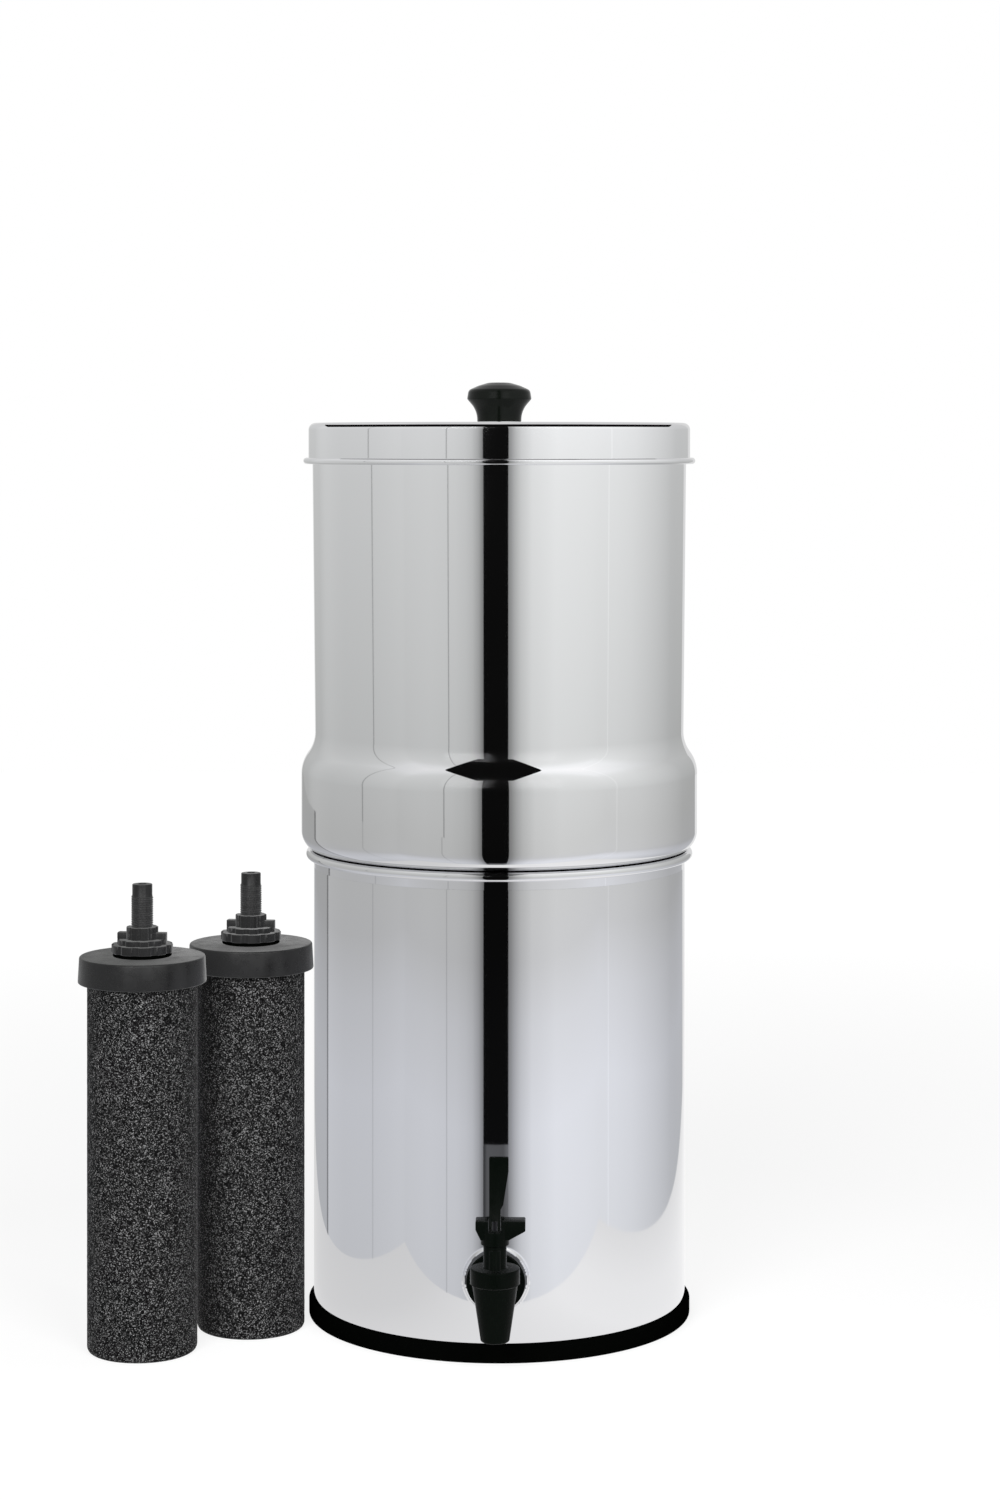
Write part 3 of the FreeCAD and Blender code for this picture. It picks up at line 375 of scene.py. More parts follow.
# The upper chamber is drawn from the same sheet: a sump floor with four element holes, a round corner
# that sits in the lower rim, a wide skirt, a shoulder and a slightly flared wall whose mouth is folded
# over.
SKIRT_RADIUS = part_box("upper_chamber")[1].x
SKIRT_CORNER = 0.012
SKIRT_OVERHANG = DRUM_RADIUS - WALL + RIM_CURL - (SKIRT_RADIUS - SKIRT_CORNER)
SEAT_GAP = 0.0003
SKIRT_REACH = SKIRT_CORNER + RIM_CURL + SEAT_GAP
SKIRT_BOTTOM = RIM_HEIGHT - SKIRT_CORNER + math.sqrt(SKIRT_REACH**2 - SKIRT_OVERHANG**2)
SKIRT_STRAIGHT = 0.0397
SHOULDER_START = SKIRT_BOTTOM + SKIRT_CORNER + SKIRT_STRAIGHT
SHOULDER_RISE = 0.011
SHOULDER_ROUND = 0.020
NECK_INSET = 0.008
NECK_RADIUS = SKIRT_RADIUS - NECK_INSET
MOUTH_FLARE = 0.0018
MOUTH_RADIUS = NECK_RADIUS + MOUTH_FLARE
MOUTH_STEPS = 12
MOUTH_FOLD = 0.0009
MOUTH_TAIL = 0.003
MOUTH_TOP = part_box("upper_chamber")[1].z
SUMP_RADIUS = 0.1015
SUMP_CORNER = 0.006
SUMP_BEND = 0.0015
UPPER_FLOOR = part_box("upper_chamber")[0].z
FLOOR_DISC = 0.090
HOLE_CIRCLE = 0.058
STEM_HOLE = 0.0065
HOLE_STEPS = 48
HOLE_SHARE = 0.99


def pierced_disc(radius, count, low, high, holes):
    """A round plate between two heights, with holes of (x, y, radius). Its rim is left open to join a wall."""
    outline = [(radius * math.cos(a), radius * math.sin(a)) for a in even_angles(count)]
    points, edges, rings = list(outline), [(i, (i + 1) % count) for i in range(count)], []
    for x, y, r in holes:
        first = len(points)
        points += [(x + r * math.cos(a), y + r * math.sin(a)) for a in even_angles(HOLE_STEPS)]
        rings.append(list(range(first, first + HOLE_STEPS)))
        edges += [(first + i, first + (i + 1) % HOLE_STEPS) for i in range(HOLE_STEPS)]
    flat, _, triangles, *_ = delaunay_2d_cdt([Vector(p) for p in points], edges, [], 0, TINY)
    kept = []
    for triangle in triangles:
        middle = sum((flat[i] for i in triangle), Vector((0, 0))) / 3
        if all(math.dist(middle, (x, y)) > r * HOLE_SHARE for x, y, r in holes):
            kept.append(triangle)
    vertices = [(p.x, p.y, low) for p in flat] + [(p.x, p.y, high) for p in flat]
    above = len(flat)
    faces = [tuple(reversed(triangle)) for triangle in kept]
    faces += [tuple(i + above for i in triangle) for triangle in kept]
    for ring in rings:
        for i, j in zip(ring, ring[1:] + ring[:1]):
            faces.append((j, i, i + above, j + above))
    return vertices, faces


upper_path = fillet_path([
    (FLOOR_DISC, UPPER_FLOOR, 0),
    (SUMP_RADIUS, UPPER_FLOOR, SUMP_CORNER),
    (SUMP_RADIUS, SKIRT_BOTTOM, SUMP_BEND),
    (SKIRT_RADIUS, SKIRT_BOTTOM, SKIRT_CORNER),
    (SKIRT_RADIUS, SHOULDER_START, SHOULDER_ROUND),
    (NECK_RADIUS, SHOULDER_START + SHOULDER_RISE, SHOULDER_ROUND),
    (MOUTH_RADIUS, MOUTH_TOP - MOUTH_FOLD, 0),
], steps=24)
mouth = rolled_edge(MOUTH_RADIUS - WALL, MOUTH_TOP - MOUTH_FOLD, 1, MOUTH_FOLD, WALL, math.pi, MOUTH_STEPS)
mouth_inner, mouth_outer = mouth[:MOUTH_STEPS + 1], mouth[MOUTH_STEPS + 1:]
tail = [(r, z - MOUTH_TAIL) for r, z in (mouth_inner[-1], mouth_outer[0])]
mouth = mouth_inner + tail + mouth_outer
upper_inside = beside(upper_path, WALL)[:-1]
upper_outline = upper_path + mouth[::-1][1:-1] + upper_inside[::-1]
upper_vertices, upper_faces = turned_mesh(upper_outline, even_angles(LARGE_STEPS), closed=False)
element_holes = [
    (HOLE_CIRCLE * math.cos(a), HOLE_CIRCLE * math.sin(a), STEM_HOLE) for a in even_angles(4)
]
disc_vertices, disc_faces = pierced_disc(
    FLOOR_DISC, LARGE_STEPS, UPPER_FLOOR, UPPER_FLOOR + WALL, element_holes)
upper_faces += [tuple(corner + len(upper_vertices) for corner in face) for face in disc_faces]
upper_vertices += disc_vertices
upper_drum = shaped("upper_drum", upper_vertices, upper_faces, steel)
placed("upper_drum", upper_drum, "upper", "upper_chamber")


# The lid is a pressed steel cover with a short skirt and a rolled hem. It rests on the upper chamber's
# folded mouth.
lid_low, lid_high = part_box("lid")
LID_WALL = 0.0006
LID_CURL = 0.0018
LID_RADIUS = lid_high.x - 2 * LID_CURL + LID_WALL
LID_CORNER = 0.004
LID_TOP = lid_high.z
LID_HEM = lid_low.z + LID_CURL
LID_HOLE = 0.0026
HEM_SWEEP = math.radians(290)
lid_path = fillet_path([
    (LID_HOLE, LID_TOP, 0),
    (LID_RADIUS, LID_TOP, LID_CORNER),
    (LID_RADIUS, LID_HEM, 0),
], 20)
lid_rim = rolled_edge(LID_RADIUS - LID_WALL, LID_HEM, -1, LID_CURL, LID_WALL, HEM_SWEEP)
lid_inside = beside(lid_path, -LID_WALL)[:-1]
lid_outline = lid_path + lid_rim[::-1][1:-1] + lid_inside[::-1]
lid_cover = shaped("lid_cover", *turned_mesh(lid_outline[::-1], even_angles(LARGE_STEPS)), steel)
placed("lid_cover", lid_cover, "cover", "lid")


# The knob is turned and polished black phenolic over a brass bush. A pan head screw comes up through the
# lid and through a thin steel washer that keeps the knob's foot off the sheet.
KNOB_BASE, KNOB_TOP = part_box("lid_knob")[0].z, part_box("lid_knob")[1].z
KNOB_HEIGHT = KNOB_TOP - KNOB_BASE
KNOB_FOOT = 0.0129
KNOB_RADIUS = 0.0184
INSERT_RADIUS = 0.004
INSERT_LENGTH = 0.011
phenolic, phenolic_tree, phenolic_shader = material(
    "black_phenolic", (0.0030, 0.0040, 0.0030), Specular_IOR_Level=0.10, Coat_Weight=0.05, Coat_Roughness=0.03)
marked(phenolic_tree, phenolic_shader, 0.10, 0.08, 80.0)
knob_side = fillet_path([
    (0, 0, 0),
    (KNOB_FOOT, 0, 0.0004),
    (KNOB_FOOT, 0.0062, 0.014),
    (KNOB_RADIUS + 0.0004, 0.0132, 0.0012),
    (KNOB_RADIUS - 0.0004, 0.0184, 0.003),
    (0.0122, KNOB_HEIGHT - 0.0018, 0.012),
    (0.0061, KNOB_HEIGHT, 0.012),
    (0, KNOB_HEIGHT, 0),
], 8)[1:]
knob_outline = [(0, INSERT_LENGTH), (INSERT_RADIUS, INSERT_LENGTH), (INSERT_RADIUS, 0)] + knob_side
knob_turned = turned_mesh(knob_outline, even_angles(SMALL_STEPS), closed=False, place=(0, 0, KNOB_BASE))
placed("knob", shaped("knob", *knob_turned, phenolic), "cover", "lid_knob")


def finished(node, finish):
    """A CAD node that keeps its own shape and gets a finish."""
    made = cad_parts[node]
    made.data.materials.clear()
    made.data.materials.append(finish)


def applied(seed):
    """The plain mesh of an object with its modifiers applied. The object is removed."""
    bpy.context.view_layer.update()
    evaluated = seed.evaluated_get(bpy.context.evaluated_depsgraph_get())
    made = bpy.data.meshes.new_from_object(evaluated)
    bpy.data.objects.remove(seed)
    return made


SAME_POINT = 1e-6
SAME_PLANE = math.radians(0.5)
ROUNDED_FROM = math.radians(40)


def softened(node, body, finish, edge):
    """A copy of a CAD node with its moulded or machined edges rounded, which stands for the node."""
    work = bmesh.new()
    work.from_mesh(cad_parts[node].data)
    bmesh.ops.remove_doubles(work, verts=work.verts, dist=SAME_POINT)
    bmesh.ops.dissolve_limit(work, angle_limit=SAME_PLANE, verts=work.verts, edges=work.edges)
    mesh = bpy.data.meshes.new(node + "_softened")
    work.to_mesh(mesh)
    work.free()
    seed = bpy.data.objects.new(node + "_softened", mesh)
    scene.collection.objects.link(seed)
    if edge > 0:
        bevel = seed.modifiers.new("edge", "BEVEL")
        bevel.width = edge
        bevel.segments = 2
        bevel.limit_method = "ANGLE"
        bevel.angle_limit = ROUNDED_FROM
        bevel.use_clamp_overlap = True
    made = applied(seed)
    made.shade_smooth()
    made.set_sharp_from_angle(angle=SHARP_FROM)
    made.materials.clear()
    made.materials.append(finish)
    return placed(node + "_softened", made, body, node)


brass, brass_tree, brass_shader = material("turned_brass", (0.78, 0.60, 0.30), 1.0)
marked(brass_tree, brass_shader, 0.25, 0.15, 300.0)
drawn, drawn_tree, drawn_shader = material("drawn_steel", (0.58, 0.58, 0.60), 1.0)
marked(drawn_tree, drawn_shader, 0.22, 0.18, 200.0, 0.2)
finished("knob_washer", steel)
finished("knob_insert", brass)
finished("knob_screw", drawn)


# The tap is moulded in satin black plastic: a tapered spout with a valve barrel over it, a threaded neck,
# and a flange and shank that clamp through the pad with two rubber washers and a flanged nut. The drum
# shows no mirror picture of the tap.
SOFT_EDGE = 0.00030
satin, satin_tree, satin_shader = material("tap_plastic", (0.0016, 0.0026, 0.0018), Specular_IOR_Level=0.03)
marked(satin_tree, satin_shader, 0.24, 0.14, 120.0)
grained(satin_tree, satin_shader, 2200.0, 3.0, 0.10, 0.0002)
softened("tap_shank_nut", "lower", satin, SOFT_EDGE)
softened("tap_outer_washer", "lower", rubber, SOFT_EDGE)
softened("tap_inner_washer", "lower", rubber, SOFT_EDGE)
tap_pieces = [
    softened(node, body, satin, edge)
    for node, body, edge in (
        ("tap_body", "lower", 0.00025), ("tap_bonnet", "lower", SOFT_EDGE), ("tap_lever", "lever", 0.00020),
    )
]
silicone, silicone_tree, silicone_shader = material(
    "silicone", (0.62, 0.62, 0.60), Specular_IOR_Level=0.4)
marked(silicone_tree, silicone_shader, 0.45, 0.15, 150.0)
darkened, darkened_tree, darkened_shader = material("darkened_steel", (0.03, 0.03, 0.032), 1.0)
marked(darkened_tree, darkened_shader, 0.3, 0.15, 200.0)
finished("tap_valve_stem", darkened)
finished("tap_lever_pin", darkened)
finished("tap_seat_cup", silicone)
spring = softened("tap_spring", "lower", drawn, 0)
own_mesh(spring)
tap_pieces.append(spring)
tap_pieces += [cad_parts[node] for node in ("tap_valve_stem", "tap_lever_pin", "tap_seat_cup")]
for piece in tap_pieces:
    piece.visible_glossy = False


# Each filter element is a blind tube of pressed carbon grains, glued in a moulded cap whose hollow threaded
# stem takes a flat rubber seal and a stepped wing nut. A tier of the nut is given by its radius and the
# height of its top, and the wings also by half their thickness.
CARBON_RADIUS = 0.0307
CARBON_LENGTH = 0.205
CARBON_ROUND = 0.003
CARBON_BORE = 0.009
CARBON_END = 0.022
CARBON_ROWS = 150
CARBON_STEPS = 180
GRAIN_DEPTH = 0.00012
GRAIN_DENSITY = 900
GLUE_GAP = 0.0001
CAP_RADIUS = 0.0358
CAP_TAPER = 0.0008
CAP_HEIGHT = 0.0145
CAP_WEB = 0.0035
CAP_EDGE = 0.0010
CAP_LIP = 0.0007
CAP_STEPS = 128
STEM_RADIUS = 0.00615
STEM_LENGTH = 0.040
STEM_TIP_RADIUS = 0.0056
STEM_TIP_LENGTH = 0.0063
STEM_BORE = 0.0024
STEM_FOOT = 0.0006
STEM_PLAY = 0.0001
THREAD_PITCH = 0.00127
THREAD_RIDGE = 0.00045
SEAL_RADIUS = 0.0164
SEAL_THICKNESS = 0.002
NUT_FLANGE = (0.0171, 0.0046)
NUT_STEP = (0.0139, 0.0074)
NUT_WINGS = (0.0139, 0.0110, 0.0025)
NUT_HUB = (0.0089, 0.0142)
NUT_LOBES, NUT_NOTCH = 10, 0.0026
NUT_FLUTES, NUT_FLUTE = 9, 0.0015
NUT_FLUTE_TURN = math.radians(12)
NUT_EDGE = 0.0003
NUT_STEPS = 360

matte, matte_tree, matte_shader = material(
    "matte_black", (0.0062, 0.0062, 0.0065), Specular_IOR_Level=0.38)
marked(matte_tree, matte_shader, 0.25, 0.14, 120.0)
grained(matte_tree, matte_shader, 1800.0, 3.0, 0.12, 0.0002)

carbon, carbon_tree, carbon_shader = material("pressed_carbon", (0.02, 0.02, 0.021), Specular_IOR_Level=0.04)
carbon_place = add(carbon_tree, "ShaderNodeTexCoord")
grains = add(carbon_tree, "ShaderNodeTexVoronoi", Vector=carbon_place.outputs["Object"], Scale=2100.0,
             Randomness=1.0)
clumps = add(carbon_tree, "ShaderNodeTexNoise", Vector=carbon_place.outputs["Object"], Scale=260.0,
             Detail=5.0, Roughness=0.7)
bright = add(carbon_tree, "ShaderNodeSeparateColor", Color=grains.outputs["Color"])
facets = add(carbon_tree, "ShaderNodeMapRange", Value=bright.outputs[0], From_Min=0.10, From_Max=1.0)
facet_power = add(carbon_tree, "ShaderNodeMath", {"operation": "POWER"}, _0=facets.outputs[0], _1=6.0)
clump_share = add(carbon_tree, "ShaderNodeMapRange", Value=clumps.outputs["Fac"], From_Min=0.30,
                  From_Max=0.60, To_Min=0.45, To_Max=1.15)
sparkle = add(carbon_tree, "ShaderNodeMath", {"operation": "MULTIPLY"}, _0=facet_power.outputs[0],
              _1=clump_share.outputs[0])
# The bright grain facets are a painted glint in the base colour, laid over the real grain pattern; the roughness
# drops on them too.
grain_glint_color = add(carbon_tree, "ShaderNodeMix", {"data_type": "RGBA"}, Factor=sparkle.outputs[0])
grain_glint_color.inputs["A"].default_value = (0.0018, 0.0018, 0.0019, 1)
grain_glint_color.inputs["B"].default_value = (0.26, 0.26, 0.262, 1)
carbon_tree.links.new(grain_glint_color.outputs["Result"], carbon_shader.inputs["Base Color"])
grain_rough = add(carbon_tree, "ShaderNodeMapRange", Value=sparkle.outputs[0], To_Min=0.62, To_Max=0.30)
carbon_tree.links.new(grain_rough.outputs[0], carbon_shader.inputs["Roughness"])
grain_height = add(carbon_tree, "ShaderNodeMath", {"operation": "ADD"}, _0=grains.outputs["Distance"],
                   _1=clumps.outputs["Fac"])
bumped(carbon_tree, carbon_shader, grain_height.outputs[0], 0.55, 0.0004)

coil, coil_in, coil_out = group(
    "coil", "GeometryNodeTree",
    [("Radius", "NodeSocketFloat", 0.0058), ("Wire", "NodeSocketFloat", 0.0003),
     ("Turns", "NodeSocketFloat", 10.0), ("Pitch", "NodeSocketFloat", 0.00127),
     ("Finish", "NodeSocketMaterial", None)],
    [("Geometry", "NodeSocketGeometry")],
)
rise = add(coil, "ShaderNodeMath", {"operation": "MULTIPLY"}, _0=coil_in.outputs["Turns"],
           _1=coil_in.outputs["Pitch"])
helix = add(coil, "GeometryNodeCurveSpiral", Resolution=32, Rotations=coil_in.outputs["Turns"],
            Start_Radius=coil_in.outputs["Radius"], End_Radius=coil_in.outputs["Radius"],
            Height=rise.outputs[0])
ridge = add(coil, "GeometryNodeCurvePrimitiveCircle", Resolution=8, Radius=coil_in.outputs["Wire"])
swept = add(coil, "GeometryNodeCurveToMesh", Curve=helix.outputs[0], Profile_Curve=ridge.outputs[0],
            Fill_Caps=True)
coil_real = add(coil, "GeometryNodeRealizeInstances", Geometry=swept.outputs[0])
coil_done = add(coil, "GeometryNodeSetMaterial", Geometry=coil_real.outputs[0],
                Material=coil_in.outputs["Finish"])
coil.links.new(coil_done.outputs[0], coil_out.inputs[0])


def grown(name, tree, **values):
    """The plain mesh that a Geometry Nodes tree makes from nothing but its named inputs."""
    seed = bpy.data.objects.new(name, bpy.data.meshes.new(name))
    scene.collection.objects.link(seed)
    nodes = seed.modifiers.new(name, "NODES")
    nodes.node_group = tree
    sockets = {item.name: item.identifier for item in tree.interface.items_tree if item.in_out == "INPUT"}
    for key, value in values.items():
        nodes[sockets[key]] = value
    return applied(seed)


def standing(mesh, body, place, turned, name, node=None):
    """A piece from a mesh drawn stem up at the origin: turned over if it hangs, and moved to its place."""
    over = Matrix.Rotation(math.pi, 4, "X") if turned else Matrix()
    mesh.transform(Matrix.Translation(place) @ over)
    return placed(name, mesh, body, node)


def element_carbon():
    """A pressed carbon tube, closed and rounded at height 0. Its side is uneven, as pressed grains are."""
    height = CARBON_LENGTH + CAP_HEIGHT - CAP_WEB
    side = [
        (CARBON_RADIUS, CARBON_ROUND + (height - CARBON_ROUND) * row / CARBON_ROWS)
        for row in range(1, CARBON_ROWS + 1)
    ]
    corner = fillet_path([(0, 0, 0), (CARBON_RADIUS, 0, CARBON_ROUND), (CARBON_RADIUS, height, 0)], 8)
    bore = [(CARBON_BORE, height), (CARBON_BORE, CARBON_END), (0, CARBON_END)]
    outline = [(0, 0)] + corner[1:-1] + side + bore
    vertices, faces = turned_mesh(outline, even_angles(CARBON_STEPS), closed=False)
    rough = []
    for x, y, z in vertices:
        r = math.hypot(x, y)
        if r > CARBON_RADIUS * 0.98 and z < CARBON_LENGTH:
            spot = Vector((x, y, z)) * GRAIN_DENSITY
            share = 1 - GRAIN_DEPTH / r * (1 + noise.noise(spot))
            x, y = x * share, y * share
        rough.append((x, y, z))
    return shaped("carbon", rough, faces, carbon)


def element_cap():
    """The moulded cap over the carbon's open end, with its stem's plain core. The thread is separate."""
    top = CARBON_LENGTH + CAP_HEIGHT
    end = top + STEM_LENGTH
    core = STEM_RADIUS - THREAD_RIDGE
    outline = fillet_path([
        (STEM_BORE, top - CAP_WEB, 0),
        (CARBON_RADIUS + GLUE_GAP, top - CAP_WEB, 0.0005),
        (CARBON_RADIUS + GLUE_GAP, CARBON_LENGTH, 0.0004),
        (CAP_RADIUS, CARBON_LENGTH, CAP_LIP),
        (CAP_RADIUS - CAP_TAPER, top, CAP_EDGE),
        (STEM_RADIUS + STEM_FOOT, top, 0),
        (core, top + 0.0005, 0),
        (core, end - STEM_TIP_LENGTH, 0),
        (STEM_TIP_RADIUS, end - STEM_TIP_LENGTH + 0.0003, 0),
        (STEM_TIP_RADIUS, end, 0.0005),
        (STEM_BORE, end, 0),
    ], 6)
    vertices, faces = turned_mesh(outline, even_angles(CAP_STEPS))
    return shaped("cap", vertices, faces, matte)


def element_seal():
    """A flat rubber washer with rounded edges."""
    edge = SEAL_THICKNESS / 4
    bore = STEM_RADIUS + STEM_PLAY
    outline = fillet_path([
        (bore, 0, 0),
        (SEAL_RADIUS, 0, edge),
        (SEAL_RADIUS, SEAL_THICKNESS, edge),
        (bore, SEAL_THICKNESS, 0),
    ], 6)
    vertices, faces = turned_mesh(outline, even_angles(SMALL_STEPS))
    return shaped("seal", vertices, faces, rubber)


def notched(radius, count, cut, angle):
    """Radius at an angle of a round edge with evenly spaced round notches."""
    pitch = 2 * math.pi / count
    off = (angle - pitch / 2 + math.pi / count) % pitch - pitch / 2
    centre = radius + cut / 2
    side = cut**2 - (centre * math.sin(off)) ** 2
    return min(radius, centre * math.cos(off) - math.sqrt(side)) if side > 0 else radius


def wing_nut_mesh():
    """A stepped nut of tiers, each joined to the next. A tier's radius changes round it."""
    half = NUT_WINGS[2]

    def hub(angle):
        """Radius of the fluted hub."""
        return notched(NUT_HUB[0], NUT_FLUTES, NUT_FLUTE, angle - NUT_FLUTE_TURN)

    def wings(angle):
        """Radius of the two wings, and of the hub between them."""
        across = abs(math.sin(angle))
        return max(hub(angle), min(NUT_WINGS[0], half / across if across > TINY else NUT_WINGS[0]))

    def flange(angle):
        """Radius of the lobed flange."""
        return notched(NUT_FLANGE[0], NUT_LOBES, NUT_NOTCH, angle)

    def step(angle):
        """Radius of the lobed step over the flange."""
        return notched(NUT_STEP[0], NUT_LOBES, NUT_NOTCH, angle)

    bore = STEM_RADIUS + STEM_PLAY
    tiers = [(lambda angle: bore, 0)]
    low = 0
    for rule, top in (
        (flange, NUT_FLANGE[1]), (step, NUT_STEP[1]), (wings, NUT_WINGS[1]), (hub, NUT_HUB[1]),
    ):
        foot = [(rule, low)] if low else [(lambda a, rule=rule: rule(a) - NUT_EDGE, 0), (rule, NUT_EDGE)]
        tiers += foot + [(rule, top - NUT_EDGE), (lambda a, rule=rule: rule(a) - NUT_EDGE, top)]
        low = top
    tiers.append((lambda angle: bore, low))
    angles = even_angles(NUT_STEPS)
    vertices = [(rule(a) * math.cos(a), rule(a) * math.sin(a), z) for rule, z in tiers for a in angles]
    faces = []
    for tier in range(len(tiers)):
        lower, upper = tier * NUT_STEPS, (tier + 1) % len(tiers) * NUT_STEPS
        for j in range(NUT_STEPS):
            k = (j + 1) % NUT_STEPS
            faces.append((lower + j, lower + k, upper + k, upper + j))
    return shaped("wing_nut", vertices, faces, matte)


def stem_thread(low, high):
    """The helical ridge of a stem between two heights."""
    turns = (high - low) / THREAD_PITCH
    mesh = grown("stem_thread", coil, Radius=STEM_RADIUS - THREAD_RIDGE, Wire=THREAD_RIDGE, Turns=turns,
                 Pitch=THREAD_PITCH, Finish=matte)
    mesh.transform(Matrix.Translation((0, 0, low)))
    mesh.shade_smooth()
    return mesh


NUT_TURN = math.radians(-6)
CAP_TOP = CARBON_LENGTH + CAP_HEIGHT
THREAD_BOTTOM = CAP_TOP + STEM_FOOT
THREAD_TOP = CAP_TOP + STEM_LENGTH - STEM_TIP_LENGTH - THREAD_RIDGE
for prefix, hung in (
    ("near_element", False), ("far_element", False),
    ("fitted_element_right", True), ("fitted_element_left", True),
):
    body = "upper" if hung else prefix
    low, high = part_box(prefix + "_carbon")
    x, y = (low.x + high.x) / 2, (low.y + high.y) / 2
    base = high.z if hung else low.z
    up = -1 if hung else 1
    foot = (x, y, base)
    thread = stem_thread(THREAD_BOTTOM, THREAD_TOP)
    made = [
        standing(element_carbon(), body, foot, hung, prefix + "_block", prefix + "_carbon"),
        standing(element_cap(), body, foot, hung, prefix + "_cap", prefix + "_end_cap"),
        standing(thread, body, foot, hung, prefix + "_thread"),
        standing(element_seal(), body, (x, y, base + up * CAP_TOP), hung, prefix + "_flat_seal",
                 prefix + "_seal"),
    ]
    nut = wing_nut_mesh()
    if not hung:
        nut.transform(Matrix.Rotation(NUT_TURN, 4, "Z"))
    nut_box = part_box(prefix + "_wing_nut")
    nut_base = nut_box[1].z if hung else nut_box[0].z
    made.append(standing(
        nut, body, (x, y, nut_base), hung, prefix + "_nut", prefix + "_wing_nut"))
    if not hung:
        for piece in made:
            piece.visible_glossy = False
finished("blanking_plugs", matte)
finished("blanking_plug_seals", rubber)
finished("blanking_plug_nuts", matte)


# The paper tent stands round the filter, open at the back, with a slit for the camera and thin seams where
# its sheets meet. Only mirrors see it. A strip that lies over another is a little nearer to the filter.
TENT_LEFT = -0.265
TENT_RIGHT = 0.335
TENT_FRONT = -0.225
TENT_TOP = 1.0
SLIT_LEFT = -0.0247
SLIT_RIGHT = 0.0198
SEAM = 0.0028
SEAM_CHANGE = 0.27
SLIT_FOOT = 0.094
TENT_BACK = 0.6
NEARER = 0.001


def ramp(tree, value, low, high, stops):
    """Colour by a coordinate: stops are (coordinate, grey or colour)."""
    share = add(tree, "ShaderNodeMapRange", Value=value, From_Min=low, From_Max=high)
    colors = add(tree, "ShaderNodeValToRGB", Fac=share.outputs[0])
    colors.color_ramp.interpolation = "LINEAR"
    elements = colors.color_ramp.elements
    elements[0].position, elements[-1].position = 0, 1
    for at, _ in stops[1:-1]:
        elements.new((at - low) / (high - low))
    for element, (_, tone) in zip(elements, stops):
        element.color = (*tone, 1) if isinstance(tone, tuple) else (tone, tone, tone, 1)
    return colors.outputs["Color"]


def paper(name, axis, low, high, stops):
    """Lit paper whose tone changes along the wall and up it."""
    made = bpy.data.materials.new(name)
    made.use_nodes = True
    tree = made.node_tree
    tree.nodes.clear()
    where = add(tree, "ShaderNodeTexCoord")
    split = add(tree, "ShaderNodeSeparateXYZ", Vector=where.outputs["Object"])
    along = ramp(tree, split.outputs[axis], low, high, stops)
    upward = ramp(tree, split.outputs["Z"], 0.0, TENT_TOP, [
        (0.0, (0.72, 0.735, 0.765)), (0.10, (0.745, 0.76, 0.80)), (0.16, (0.68, 0.69, 0.715)),
        (0.20, (0.60, 0.605, 0.61)), (0.26, (0.605, 0.61, 0.60)), (0.315, (0.67, 0.68, 0.67)),
        (0.38, (0.72, 0.73, 0.72)), (0.48, (0.79, 0.80, 0.79)), (0.56, (0.90, 0.91, 0.91)),
        (0.75, (1.0, 1.0, 1.0)), (TENT_TOP, (1.0, 1.0, 1.0)),
    ])
    both = add(tree, "ShaderNodeMix", {"data_type": "RGBA", "blend_type": "MULTIPLY"}, Factor=1.0)
    tree.links.new(along, both.inputs["A"])
    tree.links.new(upward, both.inputs["B"])
    glow = add(tree, "ShaderNodeEmission", Color=both.outputs["Result"], Strength=1.40)
    end = tree.nodes.new("ShaderNodeOutputMaterial")
    tree.links.new(glow.outputs[0], end.inputs["Surface"])
    return made


def plain_paper(name, tone):
    """Lit paper of one tone along the wall."""
    return paper(name, "X", -1, 1, [(-1, tone), (1, tone)])


def screen(name, corners, made):
    """A flat panel that only mirror reflections see."""
    mesh = bpy.data.meshes.new(name)
    mesh.from_pydata(corners, [], [tuple(range(len(corners)))])
    panel = bpy.data.objects.new(name, mesh)
    scene.collection.objects.link(panel)
    panel.data.materials.append(made)
    panel.visible_camera = False
    panel.visible_diffuse = False
    panel.visible_shadow = False
    panel.visible_transmission = False
    return panel


def wall(name, a, b, made, low=0.0, high=TENT_TOP):
    """An upright panel from one point on the table to another."""
    return screen(name, [(*a, low), (*b, low), (*b, high), (*a, high)], made)


left_paper = paper("tent_left", "Y", TENT_FRONT, TENT_BACK, [
    (TENT_FRONT, 0.66), (-0.20, 0.66), (-0.10, 0.62), (0.0, 0.61), (0.08, 0.63), (0.12, 0.62), (0.20, 0.55),
    (TENT_BACK, 0.5),
])
# The front walls are painted darker toward the slit, as painted shade round it.
front_left_paper = paper("tent_front_left", "X", TENT_LEFT, 0.0, [
    (TENT_LEFT, 0.65), (-0.145, 0.67), (-0.080, 0.65), (-0.058, 0.61), (-0.045, 0.55), (-0.033, 0.40),
    (-0.026, 0.24), (0.0, 0.16),
])
front_right_paper = paper("tent_front_right", "X", 0.0, TENT_RIGHT, [
    (0.0, 0.22), (0.0215, 0.28), (0.032, 0.48), (0.043, 0.64), (0.065, 0.80), (0.12, 0.88), (0.24, 0.86),
    (TENT_RIGHT, 0.84),
])
right_paper = paper("tent_right", "Y", TENT_FRONT, TENT_BACK, [
    (TENT_FRONT, 0.84), (-0.15, 0.83), (-0.08, 0.79), (0.0, 0.71), (0.08, 0.63), (0.17, 0.55), (0.25, 0.53),
    (TENT_BACK, 0.5),
])
slit_dark = plain_paper("tent_slit", 0.004)
bright_fold = plain_paper("tent_fold", 0.93)
seam_dark = plain_paper("tent_seam", 0.40)
seam_pale = plain_paper("tent_seam_low", 0.52)
slit_foot = paper("tent_slit_foot", "X", -0.03, 0.03, [
    (-0.03, 0.04), (-0.022, 0.05), (-0.018, 0.10), (0.011, 0.09), (0.03, 0.26),
])
